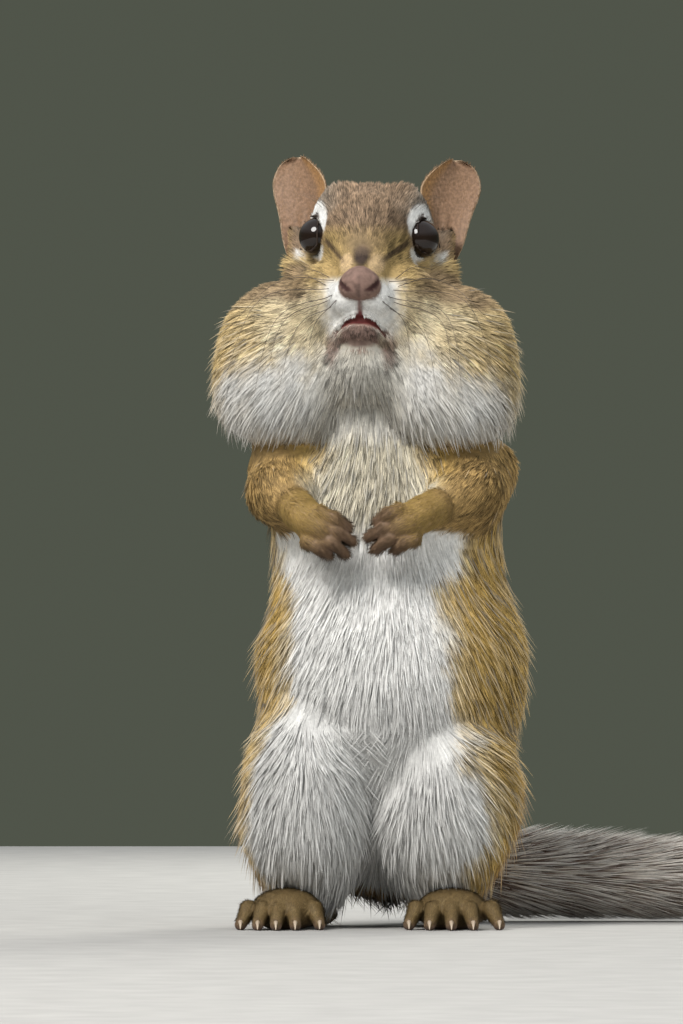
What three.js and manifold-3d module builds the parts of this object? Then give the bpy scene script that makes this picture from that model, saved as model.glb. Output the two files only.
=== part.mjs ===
// An eastern chipmunk, life size, standing upright on its hind feet with both cheek pouches full.
// Millimetres, +Z up. The animal faces -Y, its own left side is towards +X, and its soles are on Z = 0.
import * as THREE from "three";
import { mergeVertices } from "three/addons/utils/BufferGeometryUtils.js";
import Module from "manifold-3d";

const wasm = await Module();
wasm.setup();

// Driving dimensions
const EYE_LEVEL = 137.9;
const EYE_RADIUS = 3.9;
const EYE_SPREAD = 10.2; // from the head's midline to the centre of an eyeball
const EAR_HEIGHT = 24;
const EAR_HALF_WIDTH = 5.7;
const EAR_THICKNESS = 1.2;
const POUCH_RADII = [15.2, 15, 16.6];
const BELLY_RADII = [27.2, 23.5, 31];
const CHEST_RADII = [24, 18.5, 22];
const FINGER_RADIUS = 1.2;
const TOE_RADIUS = 1.55;
const TAIL_CORE_RADIUS = 3.8;
const TAIL_LOCK_LENGTH = 14;
const TAIL_BUSH = 6.3; // what the coat adds to the tail's radius at its fullest
const FLOOR_FLAT = 0.25; // what is shaved off under the feet and tail, so that they rest on flats
const GAP = 0.3; // between two pieces that meet

// Where the pieces part
const NECK_TOP = 112.4;
const NECK_BOTTOM = 95;
const POUCH_TOP = 129;
const POUCH_INNER = 9.2; // from the head's midline
const POUCH_BACK = 10;
const CHEST_BOTTOM = 68;
const RUMP_FRONT = 14;
const RUMP_TOP = 45;
const KNEE_LEVEL = 19;
const LEG_PARTING = -4;

// Mesh steps
const BODY_STEP = 4.5;
const POUCH_STEP = 3.6;
const FACE_STEP = 2.2;
const SKULL_STEP = 3.2;

// Head pose: the midpoint between the eyes, turned a little to the animal's right and tilted to its left
const HEAD_AT = new THREE.Vector3(-3.3, -8, EYE_LEVEL);
const HEAD_YAW = THREE.MathUtils.degToRad(-5.5);
const HEAD_ROLL = THREE.MathUtils.degToRad(1.5);
const headMatrix = new THREE.Matrix4()
  .makeRotationZ(HEAD_YAW)
  .multiply(new THREE.Matrix4().makeRotationY(HEAD_ROLL))
  .setPosition(HEAD_AT);
const headInverse = headMatrix.clone().invert();
const onHead = (x, y, z) => new THREE.Vector3(x, y, z).applyMatrix4(headMatrix);
const SIDES = { right: -1, left: 1 };

// Signed distances, negative inside

const ellipsoid = (centre, radii) => (p) => {
  const [x, y, z] = [p[0] - centre[0], p[1] - centre[1], p[2] - centre[2]];
  const near = Math.hypot(x / radii[0], y / radii[1], z / radii[2]);
  const steep = Math.hypot(x / radii[0] ** 2, y / radii[1] ** 2, z / radii[2] ** 2);
  return steep < 1e-9 ? -Math.min(...radii) : (near * (near - 1)) / steep;
};

const roundCone = (a, b, radiusA, radiusB) => (p) => {
  const along = [b[0] - a[0], b[1] - a[1], b[2] - a[2]];
  const from = [p[0] - a[0], p[1] - a[1], p[2] - a[2]];
  const length2 = along[0] ** 2 + along[1] ** 2 + along[2] ** 2;
  const dot = from[0] * along[0] + from[1] * along[1] + from[2] * along[2];
  const t = Math.min(1, Math.max(0, dot / length2));
  const away = Math.hypot(from[0] - t * along[0], from[1] - t * along[1], from[2] - t * along[2]);
  return away - radiusA - t * (radiusB - radiusA);
};

const smoothUnion = (softness, ...fields) => (p) =>
  fields.reduce((best, field) => {
    const next = field(p);
    const near = Math.max(softness - Math.abs(best - next), 0) / softness;
    return Math.min(best, next) - near * near * softness * 0.25;
  }, 1e3);

const bothSides = (make) => Object.values(SIDES).map(make);

// Head and pouches, in the head's own frame

const face = smoothUnion(
  2.4,
  smoothUnion(
    4,
    ellipsoid([0, 8, -1.6], [14.3, 14, 13]), // skull
    ellipsoid([0, -2, 1.2], [8.6, 9.4, 8]), // forehead
    roundCone([0, -3, -3.4], [0, -13.2, -9.4], 7.8, 4.3), // snout
    roundCone([0, -2, -14.6], [0, -10.2, -18.2], 7, 3.9), // lower jaw
    ellipsoid([0, -3.2, -25], [9, 10, 9]), // throat
  ),
  ...bothSides((side) => ellipsoid([side * 6.2, 4.6, 3.6], [6.4, 8.6, 7.6])), // crown
  ...bothSides((side) => ellipsoid([side * 2.9, -12.3, -12.8], [3.6, 4.4, 4])), // upper lips
  ...bothSides((side) => ellipsoid([side * 7.6, -3.4, -13.4], [7.4, 9, 8.4])), // cheeks
  ...bothSides((side) => ellipsoid([side * 9.7, 1.2, -0.2], [3.4, 3.4, 4.4])), // round the eyes
);

const pouch = (side) =>
  smoothUnion(
    4,
    ellipsoid([side * 15.2, 3.4, -24.8], POUCH_RADII),
    ellipsoid([side * 15.8, 2.4, -30.6], [14.4, 14, 11.2]),
  );

const headLocal = smoothUnion(4.5, face, ...bothSides(pouch));
const headPoint = new THREE.Vector3();
const head = (p) => {
  headPoint.set(...p).applyMatrix4(headInverse);
  return headLocal([headPoint.x, headPoint.y, headPoint.z]);
};

// Body and legs

const trunk = smoothUnion(
  9,
  ellipsoid([-2, 3, 105], [15.5, 14.5, 18]), // neck
  roundCone([-2, 4, 104], [-3.2, 3, 127], 14, 11.5), // nape
  ellipsoid([0.2, 1.5, 82], CHEST_RADII),
  ellipsoid([1.4, 1, 52], BELLY_RADII),
  ellipsoid([1, 11.5, 30], [23.6, 20, 24]), // rump
);

const LEGS = {
  right: { thigh: [-15.4, -5, 28], radii: [12.9, 18.5, 21.5], knee: [-15.8, -9, 22], ankle: [-15, 0, 12.4] },
  left: { thigh: [12.3, -4, 28], radii: [15, 18.5, 21.5], knee: [9.6, -8, 22], ankle: [11, 2, 12.4] },
};
const KNEE_RADIUS = 11.6;
const ANKLE_RADIUS = 9.4;
const leg = ({ thigh, radii, knee, ankle }) =>
  smoothUnion(5, ellipsoid(thigh, radii), roundCone(knee, ankle, KNEE_RADIUS, ANKLE_RADIUS));

const body = smoothUnion(
  3,
  smoothUnion(5, trunk, leg(LEGS.right)),
  leg(LEGS.left),
  head,
);

// Meshes and solids

// Grid lines from low to high, with steps that differ by stretch: [[end, step], ...]
const gridLines = (low, ...stretches) => {
  const lines = [low];
  for (const [end, step] of stretches) {
    const start = lines.at(-1);
    const count = Math.ceil((end - start) / step);
    for (let i = 1; i <= count; i++) lines.push(start + ((end - start) * i) / count);
  }
  return lines;
};

// A closed mesh of a field's surface, as a surface net on a grid of lines. It ends just inside the grid.
function surfaceNet(field, lines) {
  const [nx, ny, nz] = lines.map((l) => l.length);
  const [xs, ys, zs] = lines;
  const place = (i, j, k) => (k * ny + j) * nx + i;
  const values = new Float32Array(nx * ny * nz);
  for (let k = 0; k < nz; k++)
    for (let j = 0; j < ny; j++)
      for (let i = 0; i < nx; i++) {
        const rim = i % (nx - 1) === 0 || j % (ny - 1) === 0 || k % (nz - 1) === 0;
        values[place(i, j, k)] = rim ? 1 : field([xs[i], ys[j], zs[k]]);
      }
  const CORNERS = [0, 1, 2, 3, 4, 5, 6, 7].map((c) => [c & 1, (c >> 1) & 1, c >> 2]);
  const EDGES = [];
  for (let a = 0; a < 8; a++) for (const bit of [1, 2, 4]) if (!(a & bit)) EDGES.push([a, a | bit]);
  const points = [];
  const cells = new Map();
  for (let k = 0; k < nz - 1; k++)
    for (let j = 0; j < ny - 1; j++)
      for (let i = 0; i < nx - 1; i++) {
        const v = CORNERS.map(([a, b, c]) => values[place(i + a, j + b, k + c)]);
        const sum = [0, 0, 0];
        let crossings = 0;
        for (const [a, b] of EDGES) {
          if (v[a] < 0 === v[b] < 0) continue;
          const t = v[a] / (v[a] - v[b]);
          for (let axis = 0; axis < 3; axis++)
            sum[axis] += CORNERS[a][axis] + t * (CORNERS[b][axis] - CORNERS[a][axis]);
          crossings++;
        }
        if (!crossings) continue;
        cells.set(place(i, j, k), points.length / 3);
        const [u, w, h] = sum.map((s) => s / crossings);
        points.push(
          xs[i] + u * (xs[i + 1] - xs[i]),
          ys[j] + w * (ys[j + 1] - ys[j]),
          zs[k] + h * (zs[k + 1] - zs[k]),
        );
      }
  const triangles = [];
  const steps = [place(1, 0, 0), place(0, 1, 0), place(0, 0, 1)];
  for (let k = 0; k < nz - 1; k++)
    for (let j = 0; j < ny - 1; j++)
      for (let i = 0; i < nx - 1; i++) {
        const here = place(i, j, k);
        const low = [i === 0, j === 0, k === 0];
        for (let axis = 0; axis < 3; axis++) {
          if (low[(axis + 1) % 3] || low[(axis + 2) % 3]) continue;
          const inside = values[here] < 0;
          if (inside === values[here + steps[axis]] < 0) continue;
          const [one, two] = [steps[(axis + 1) % 3], steps[(axis + 2) % 3]];
          const quad = [here - one - two, here - two, here, here - one].map((c) => cells.get(c));
          if (!inside) quad.reverse();
          triangles.push(quad[0], quad[1], quad[2], quad[0], quad[2], quad[3]);
        }
      }
  const geometry = new THREE.BufferGeometry();
  geometry.setAttribute("position", new THREE.Float32BufferAttribute(points, 3));
  geometry.setIndex(triangles);
  return geometry;
}

function solid(geometry) {
  const bare = geometry.clone();
  for (const name of Object.keys(bare.attributes)) if (name !== "position") bare.deleteAttribute(name);
  const merged = mergeVertices(bare, 1e-4);
  return new wasm.Manifold(
    new wasm.Mesh({
      numProp: 3,
      vertProperties: new Float32Array(merged.attributes.position.array),
      triVerts: new Uint32Array(merged.index.array),
    }),
  );
}

const largest = (manifold) => manifold.decompose().sort((a, b) => b.volume() - a.volume())[0];

const union = (solids) => solids.reduce((whole, next) => whole.add(next));

function geometryOf(manifold) {
  const mesh = manifold.getMesh();
  const geometry = new THREE.BufferGeometry();
  geometry.setAttribute("position", new THREE.BufferAttribute(mesh.vertProperties, 3));
  geometry.setIndex(new THREE.BufferAttribute(mesh.triVerts, 1));
  return geometry;
}

// The same solid without its shortest edges: vertices that fall in one small cell become one.
// A cell size is passed over if it leaves two parts of the surface that share an edge.
const WELD_CELLS = [0.05, 0.043, 0.037, 0.031, 0.023, 0.017, 0.011];
function welded(manifold) {
  const mesh = manifold.getMesh();
  const from = mesh.vertProperties;
  for (const cell of WELD_CELLS) {
    const kept = new Map();
    const points = [];
    const place = Array.from({ length: from.length / 3 }, (_, v) => {
      const point = [from[3 * v], from[3 * v + 1], from[3 * v + 2]];
      const key = point.map((c) => Math.round(c / cell)).join();
      if (!kept.has(key)) {
        kept.set(key, points.length / 3);
        points.push(...point);
      }
      return kept.get(key);
    });
    const triangles = [];
    const edges = new Set();
    for (let i = 0; i < mesh.triVerts.length; i += 3) {
      const [a, b, c] = [0, 1, 2].map((n) => place[mesh.triVerts[i + n]]);
      if (a === b || b === c || c === a) continue;
      triangles.push(a, b, c);
      for (const [start, end] of [[a, b], [b, c], [c, a]]) edges.add(start * kept.size + end);
    }
    if (edges.size < triangles.length) continue;
    const triVerts = new Uint32Array(triangles);
    const shape = { numProp: 3, vertProperties: new Float32Array(points), triVerts };
    const clean = new wasm.Manifold(new wasm.Mesh(shape));
    if (clean.decompose().length === 1) return clean;
  }
  return manifold;
}

// A box that fills the space between two corners; a missing bound is far off
const FAR = 300;
function block({ x = [-FAR, FAR], y = [-FAR, FAR], z = [-FAR, FAR] }) {
  const box = new THREE.BoxGeometry(x[1] - x[0], y[1] - y[0], z[1] - z[0]);
  return box.translate((x[0] + x[1]) / 2, (y[0] + y[1]) / 2, (z[0] + z[1]) / 2);
}

// The half space on the side of the plane that its normal points to
function halfSpace(point, normal) {
  const box = new THREE.BoxGeometry(2 * FAR, 2 * FAR, FAR).translate(0, 0, FAR / 2);
  const turn = new THREE.Quaternion().setFromUnitVectors(new THREE.Vector3(0, 0, 1), normal);
  return box.applyQuaternion(turn).translate(point.x, point.y, point.z);
}

// A closed tube through points, with a radius at each, flattened by a share along one direction
function tube(points, radii, sides, flatAlong = null, flat = 1) {
  const positions = [];
  const triangles = [];
  const rings = points.length;
  points.forEach((point, i) => {
    const ahead = points[Math.min(i + 1, rings - 1)].clone();
    const direction = ahead.sub(points[Math.max(i - 1, 0)]).normalize();
    const hint = flatAlong ?? new THREE.Vector3(0.31, 0.53, 0.79);
    const one = hint.clone().addScaledVector(direction, -hint.dot(direction)).normalize();
    const two = new THREE.Vector3().crossVectors(direction, one);
    for (let s = 0; s < sides; s++) {
      const angle = ((s + 0.5) / sides) * 2 * Math.PI;
      const at = point.clone().addScaledVector(one, Math.cos(angle) * radii[i] * flat);
      at.addScaledVector(two, Math.sin(angle) * radii[i]);
      positions.push(at.x, at.y, at.z);
    }
  });
  for (const end of [points[0], points[rings - 1]]) positions.push(end.x, end.y, end.z);
  for (let i = 0; i < rings - 1; i++)
    for (let s = 0; s < sides; s++) {
      const [a, b] = [i * sides + s, i * sides + ((s + 1) % sides)];
      triangles.push(a, b, b + sides, a, b + sides, a + sides);
    }
  for (let s = 0; s < sides; s++) {
    const next = (s + 1) % sides;
    triangles.push(rings * sides, next, s);
    triangles.push(rings * sides + 1, (rings - 1) * sides + s, (rings - 1) * sides + next);
  }
  const geometry = new THREE.BufferGeometry();
  geometry.setAttribute("position", new THREE.Float32BufferAttribute(positions, 3));
  geometry.setIndex(triangles);
  return geometry;
}

const ball = (centre, radii, columns = 12, rows = 8) =>
  new THREE.SphereGeometry(1, columns, rows).scale(...radii).translate(...centre.toArray());

// Torso, legs and neck: one net, parted by planes

const bodyLines = [
  gridLines(-39, [35, BODY_STEP]),
  gridLines(-31, [39, BODY_STEP]),
  gridLines(0, [94, BODY_STEP], [138, POUCH_STEP]),
];
const bodySolid = solid(surfaceNet(body, bodyLines));
const bodyGrown = solid(surfaceNet((p) => body(p) - GAP, bodyLines));
const LEG_PLANES = {
  right: { at: [-11, 0, 42], normal: [-0.62, -0.3, -0.72] },
  left: { at: [10, 0, 42], normal: [0.62, -0.3, -0.72] },
};
const half = GAP / 2;

// The room of a leg: its side of the parting, in front of the rump and below its inclined plane
const legSpace = (side, grow) => {
  const normal = new THREE.Vector3(...LEG_PLANES[side].normal).normalize();
  const point = new THREE.Vector3(...LEG_PLANES[side].at).addScaledVector(normal, -grow);
  const x = SIDES[side] > 0 ? [LEG_PARTING - grow, FAR] : [-FAR, LEG_PARTING + grow];
  return solid(halfSpace(point, normal)).intersect(solid(block({ x, y: [-FAR, RUMP_FRONT + grow] })));
};

function legPieces(side) {
  const whole = bodySolid.intersect(legSpace(side, -half));
  return {
    [`thigh_${side}`]: whole.intersect(solid(block({ z: [KNEE_LEVEL + half, FAR] }))),
    [`shank_${side}`]: whole.intersect(solid(block({ z: [-FAR, KNEE_LEVEL - half] }))),
  };
}

function torsoPieces() {
  const trunkOnly = bodySolid.subtract(legSpace("right", half)).subtract(legSpace("left", half));
  const rumpBox = (grow) => solid(block({ y: [RUMP_FRONT - grow, FAR], z: [-FAR, RUMP_TOP + grow] }));
  const low = trunkOnly.intersect(solid(block({ z: [-FAR, CHEST_BOTTOM - half] })));
  return {
    chest: trunkOnly.intersect(solid(block({ z: [CHEST_BOTTOM + half, NECK_BOTTOM - half] }))),
    belly: low.subtract(rumpBox(half)),
    rump: low.intersect(rumpBox(-half)),
  };
}

// Head, pouches and neck

const pouchSpace = (side, grow) => {
  const inner = POUCH_INNER - grow;
  const x = SIDES[side] > 0 ? [inner, FAR] : [-FAR, -inner];
  const bounds = { x: x.map((v) => v + HEAD_AT.x), y: [-FAR, POUCH_BACK + grow] };
  return solid(block({ ...bounds, z: [NECK_BOTTOM + half, POUCH_TOP + grow] }));
};

const faceLines = [
  gridLines(-24, [-14, SKULL_STEP], [6.6, FACE_STEP], [17, SKULL_STEP]),
  gridLines(-32, [-8, FACE_STEP], [24, SKULL_STEP]),
  gridLines(108, [114, SKULL_STEP], [142, FACE_STEP], [154, SKULL_STEP]),
];

const eyeCentre = (sign) => onHead(sign * EYE_SPREAD, 1, -0.2);
const EYE_FACING = [0.74, -0.62, 0.2];
const eyeAxis = (sign) =>
  new THREE.Vector3(sign * EYE_FACING[0], EYE_FACING[1], EYE_FACING[2])
    .normalize()
    .transformDirection(headMatrix);
const eyeBall = (sign, radius) => ball(eyeCentre(sign), [radius, radius, radius], 12, 8);

const LID_SPREAD = 1.1; // the angle from the eye's axis to the edge of the lids
const LID_RADIUS = 0.75;
// The rim of the lids, a ring a little longer than tall
function lids(sign) {
  const reach = EYE_RADIUS + LID_RADIUS;
  const ring = new THREE.TorusGeometry(reach * Math.sin(LID_SPREAD), LID_RADIUS, 6, 13);
  const axis = eyeAxis(sign);
  const turn = new THREE.Quaternion().setFromUnitVectors(new THREE.Vector3(0, 0, 1), axis);
  const at = eyeCentre(sign).addScaledVector(axis, reach * Math.cos(LID_SPREAD));
  return solid(ring.applyQuaternion(turn).scale(1, 1, 1.06).translate(at.x, at.y, at.z));
}

function eyeOpening(sign) {
  const axis = eyeAxis(sign);
  const start = eyeCentre(sign);
  const width = EYE_RADIUS * Math.sin(LID_SPREAD - 0.1);
  const end = start.clone().addScaledVector(axis, 12);
  return solid(tube([start, end], [width, width], 11));
}

// The point of the face straight behind x and z on the head's own axes, moved out of the surface
function onFace(x, z, out) {
  let [front, back] = [-26, 4];
  for (let i = 0; i < 24; i++) {
    const y = (front + back) / 2;
    if (headLocal([x, y, z]) > 0) front = y;
    else back = y;
  }
  return onHead(x, front - out, z);
}

const MOUTH_LEVEL = -17;
const MOUTH_CORNER = [6, -22];
// Points along the mouth from its right corner to its left, moved out of the face or up
function mouthLine(out, up, count = 9) {
  return Array.from({ length: count }, (_, i) => {
    const t = (i / (count - 1)) * 2 - 1;
    const bend = Math.abs(t) ** 2.6;
    return onFace(MOUTH_CORNER[0] * t, MOUTH_LEVEL + (MOUTH_CORNER[1] - MOUTH_LEVEL) * bend + up, out);
  });
}
const even = (line, radius) => line.map(() => radius);

function headPiece() {
  const space = union([
    solid(block({ z: [POUCH_TOP + half, FAR] })),
    solid(
      block({
        x: [HEAD_AT.x - POUCH_INNER + half, HEAD_AT.x + POUCH_INNER - half],
        z: [NECK_TOP + half, FAR],
      }),
    ),
    solid(block({ y: [POUCH_BACK + half, FAR], z: [NECK_TOP + half, FAR] })),
  ]);
  let piece = solid(surfaceNet(body, faceLines)).intersect(space);
  const upper = mouthLine(-0.45, 1);
  const lower = mouthLine(-0.3, -1.2);
  piece = piece.add(solid(tube(upper, even(upper, 0.8), 6)));
  piece = piece.add(solid(tube(lower, even(lower, 0.9), 6)));
  const opening = mouthLine(0.15, -0.05);
  piece = piece.subtract(solid(tube(opening, even(opening, 0.6), 6)));
  const cleft = [onFace(0, -13.2, 0.1), onFace(0, -14.8, 0.1), onFace(0, -16.4, 0.1)];
  piece = piece.subtract(solid(tube(cleft, [0.35, 0.4, 0.45], 5)));
  for (const sign of Object.values(SIDES))
    piece = piece
      .subtract(eyeOpening(sign))
      .add(lids(sign))
      .subtract(solid(eyeBall(sign, EYE_RADIUS + GAP)));
  return piece;
}

function neckPiece() {
  const slice = solid(block({ z: [NECK_BOTTOM + half, NECK_TOP - half] }));
  return bodySolid.intersect(slice).subtract(pouchSpace("right", half)).subtract(pouchSpace("left", half));
}

const headGrown = solid(surfaceNet((p) => body(p) - GAP, faceLines));

const NOSE_RADII = [4, 2.5, 3.4];
function nosePiece() {
  let nose = solid(ball(onHead(0, -17, -10), NOSE_RADII, 12, 9));
  for (const sign of Object.values(SIDES)) {
    const nostril = [
      onHead(sign * 1.3, -19.8, -11.2),
      onHead(sign * 2.5, -19, -11),
      onHead(sign * 3.8, -17.4, -9.4),
    ];
    nose = nose.subtract(solid(tube(nostril, [0.3, 0.6, 0.4], 6)));
  }
  return nose.subtract(headGrown);
}

// Ears: a cupped blade of even thickness, whose root is cut to the head

const EAR_FOOT = [15.2, 6.5, -6.4];
const EAR_AXIS = [0.07, 0.2, 1];
const EAR_FACING = [0.5, -0.86, 0.1];
const EAR_CUP = 3;
function earPiece(sign) {
  const [rows, columns] = [9, 6];
  const axis = new THREE.Vector3(sign * EAR_AXIS[0], EAR_AXIS[1], EAR_AXIS[2]).normalize();
  const facing = new THREE.Vector3(sign * EAR_FACING[0], EAR_FACING[1], EAR_FACING[2]);
  facing.addScaledVector(axis, -facing.dot(axis)).normalize();
  const across = new THREE.Vector3().crossVectors(facing, axis);
  const positions = [];
  const sheet = (depth) => {
    for (let i = 0; i <= rows; i++)
      for (let j = 0; j <= columns; j++) {
        const t = 0.02 + 0.97 * (1 - (1 - i / rows) ** 1.5);
        const v = (j / columns) * 2 - 1;
        const width = EAR_HALF_WIDTH * Math.sin(Math.PI * t ** 1.45) ** 0.52;
        const point = new THREE.Vector3(...EAR_FOOT);
        point.x *= sign;
        point
          .addScaledVector(axis, EAR_HEIGHT * t)
          .addScaledVector(across, v * width)
          .addScaledVector(facing, EAR_CUP * v * v * (0.4 + 0.6 * (1 - t)) - EAR_CUP - depth);
        point.applyMatrix4(headMatrix);
        positions.push(point.x, point.y, point.z);
      }
  };
  sheet(0);
  sheet(EAR_THICKNESS);
  const triangles = [];
  const stride = columns + 1;
  const back = (rows + 1) * stride;
  for (let i = 0; i < rows; i++)
    for (let j = 0; j < columns; j++) {
      const a = i * stride + j;
      const [b, c, d] = [a + 1, a + stride + 1, a + stride];
      triangles.push(a, b, c, a, c, d);
      triangles.push(back + c, back + b, back + a, back + d, back + c, back + a);
    }
  const rim = [];
  for (let j = 0; j < columns; j++) rim.push(j);
  for (let i = 0; i < rows; i++) rim.push(i * stride + columns);
  for (let j = columns; j > 0; j--) rim.push(rows * stride + j);
  for (let i = rows; i > 0; i--) rim.push(i * stride);
  rim.forEach((a, i) => {
    const b = rim[(i + 1) % rim.length];
    triangles.push(b, a, back + a, b, back + a, back + b);
  });
  const geometry = new THREE.BufferGeometry();
  geometry.setAttribute("position", new THREE.Float32BufferAttribute(positions, 3));
  geometry.setIndex(triangles);
  const made = solid(geometry);
  return largest((made.volume() < 0 ? solid(flipped(geometry)) : made).subtract(headGrown));
}

function flipped(geometry) {
  const index = Array.from(geometry.index.array);
  for (let i = 0; i < index.length; i += 3) [index[i + 1], index[i + 2]] = [index[i + 2], index[i + 1]];
  return geometry.clone().setIndex(index);
}

// Forelegs: arm, forearm and a paw of four fingers and a thumb stub

const ARMS = {
  right: {
    shoulder: [-20.5, -1, 92],
    elbow: [-20.8, -10, 87],
    wrist: [-16.6, -20.6, 82.4],
    knuckles: [[-13.2, 82.6], [-12.8, 80.4], [-13.2, 78.2], [-15.4, 76.6]],
    tips: [[-7.6, 79.6], [-6.8, 77], [-8.2, 74.6], [-11.4, 74.4]],
  },
  left: {
    shoulder: [19.5, -0.5, 91.5],
    elbow: [17, -11, 87],
    wrist: [7.4, -20.6, 82.4],
    knuckles: [[2.8, 83], [2.2, 80.6], [2.6, 78.4], [5.6, 77.2]],
    tips: [[-1.4, 80.8], [-3, 77.8], [-1.8, 75.4], [2, 75.4]],
  },
};
const KNUCKLE_Y = -25;
const TIP_Y = -24;
const FOREARM_STEP = 3.9;

function armPieces(side) {
  const { shoulder, elbow, wrist, knuckles, tips } = ARMS[side];
  const arm = smoothUnion(3, roundCone(shoulder, elbow, 7.6, 7), roundCone(elbow, wrist, 6.8, 3.3));
  const xs = [shoulder[0], elbow[0], wrist[0]];
  const lines = [
    gridLines(Math.min(...xs) - 10, [Math.max(...xs) + 10, FOREARM_STEP]),
    gridLines(-29, [11, FOREARM_STEP]),
    gridLines(74, [103, FOREARM_STEP]),
  ];
  const whole = solid(surfaceNet(arm, lines)).subtract(bodyGrown);
  const along = new THREE.Vector3(...wrist).sub(new THREE.Vector3(...elbow)).normalize();
  const cut = (share, sign) => {
    const middle = new THREE.Vector3(...elbow).lerp(new THREE.Vector3(...wrist), share);
    return solid(halfSpace(middle.addScaledVector(along, sign * half), along.clone().multiplyScalar(sign)));
  };
  const WRIST_SHARE = 0.86;
  const ELBOW_SHARE = 0.1;
  const forearm = whole
    .intersect(cut(ELBOW_SHARE, 1))
    .intersect(cut(WRIST_SHARE, -1));

  const hand = new THREE.Vector3(...wrist);
  const palmEnd = new THREE.Vector3(
    (knuckles[1][0] + knuckles[2][0]) / 2,
    KNUCKLE_Y + 1,
    (knuckles[1][1] + knuckles[2][1]) / 2,
  );
  const start = hand.clone().addScaledVector(along, -4);
  const palm = solid(tube([start, hand, hand.clone().lerp(palmEnd, 0.6), palmEnd], [4, 3.5, 3.6, 2.9], 8));
  const fingers = knuckles.map(([x, z], i) => {
    const tip = new THREE.Vector3(tips[i][0], TIP_Y, tips[i][1]);
    const knuckle = new THREE.Vector3(x, KNUCKLE_Y + 0.5, z);
    const root = knuckle.clone().lerp(hand, 0.35);
    const bend = knuckle.clone().lerp(tip, 0.5).add(new THREE.Vector3(0, -1.1, 0.3));
    const radii = [1, 1, 0.95, 0.6].map((share) => share * FINGER_RADIUS);
    const claw = tip.clone().add(new THREE.Vector3(0, 1.2, -0.9));
    const finger = solid(tube([root, knuckle, bend, tip], radii, 5));
    return finger.add(solid(tube([bend.clone().lerp(tip, 0.7), tip, claw], [0.5, 0.45, 0.16], 4)));
  });
  const paw = union([palm, ...fingers]).intersect(cut(WRIST_SHARE, 1)).subtract(bodyGrown);
  return {
    [`upper_arm_${side}`]: whole.intersect(cut(ELBOW_SHARE, -1)),
    [`forearm_${side}`]: forearm,
    [`forepaw_${side}`]: paw,
  };
}

// Hind feet: a long flat sole, five toes that arch to the floor, and their claws

const FEET = {
  right: { heel: [-14, 12, 2.7], ball: [-19.6, -15.5, 4.1], toesX: [-28.6, -25.2, -21.6, -17.8, -13] },
  left: { heel: [11.4, 13.5, 2.7], ball: [13.2, -15, 4.1], toesX: [4.6, 8.6, 12.9, 17.2, 22.4] },
};
const TOE_REACH = [-22, -25, -26, -25.2, -22.2];
function footPiece(side) {
  const { heel, ball: front, toesX } = FEET[side];
  const sole = tube(
    [new THREE.Vector3(...heel), new THREE.Vector3(...heel).lerp(new THREE.Vector3(...front), 0.45),
      new THREE.Vector3(...front)],
    [4.6, 4.9, 7.2],
    9,
    new THREE.Vector3(0, 0, 1),
    0.62,
  );
  const toes = toesX.map((x, i) => {
    const root = new THREE.Vector3(front[0] + (x - front[0]) * 0.55, front[1] + 1.5, 3.4);
    const tip = new THREE.Vector3(x, TOE_REACH[i], 1.1);
    const arch = root.clone().lerp(tip, 0.62).setZ(4.3);
    const claw = [
      tip.clone().setZ(1.8),
      new THREE.Vector3(x, TOE_REACH[i] - 1.9, 1.5),
      new THREE.Vector3(x, TOE_REACH[i] - 2.9, 0.55),
    ];
    const toe = solid(tube([root, arch, tip], [1.1, 1.05, 0.65].map((r) => r * TOE_RADIUS), 6));
    return toe.add(solid(tube(claw, [0.65, 0.5, 0.2], 4)));
  });
  const floor = solid(block({ z: [0, FAR] }));
  return union([solid(sole), ...toes]).intersect(floor).subtract(bodyGrown);
}

// Tail: a core laid on the floor, with flat tapered locks that lie back along it

const TAIL_PATH = new THREE.CatmullRomCurve3(
  [[7, 26, 17], [12, 34, 12], [26, 39.5, 10.3], [46, 41, 9.4], [66, 38, 8.9], [87, 31, 8.4]].map(
    (p) => new THREE.Vector3(...p),
  ),
);
const TAIL_SPLITS = { tail_base: [0, 0.34], tail_middle: [0.34, 0.67], tail_tip: [0.67, 1] };
const LOCK_RINGS = 4; // rings of locks in each length of tail
const LOCKS_ROUND = 5;
const LOCK_WIDTH = 3.1;

// Repeatable draws from 0 to 1
function seeded(seed) {
  let state = seed;
  return () => {
    state = (Math.imul(state, 1664525) + 1013904223) >>> 0;
    return state / 4294967296;
  };
}

function tailFrame(t) {
  const at = TAIL_PATH.getPointAt(t);
  const along = TAIL_PATH.getTangentAt(t);
  const side = new THREE.Vector3().crossVectors(along, new THREE.Vector3(0, 0, 1)).normalize();
  const up = new THREE.Vector3().crossVectors(side, along);
  return { at, along, side, up };
}

function tailCore(from, to) {
  const count = 5;
  const stations = Array.from({ length: count }, (_, i) => from + ((to - from) * i) / (count - 1));
  const radii = stations.map((t) => TAIL_CORE_RADIUS * (1 - 0.72 * t ** 2.2));
  return tube(stations.map((t) => tailFrame(t).at), radii, 7);
}

// How far the tips of the locks stand from the tail's middle line
const bushRadius = (t) => 3.4 + TAIL_BUSH * Math.min(1, t / 0.22) ** 0.7 * (1 - 0.62 * t ** 3);

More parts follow.
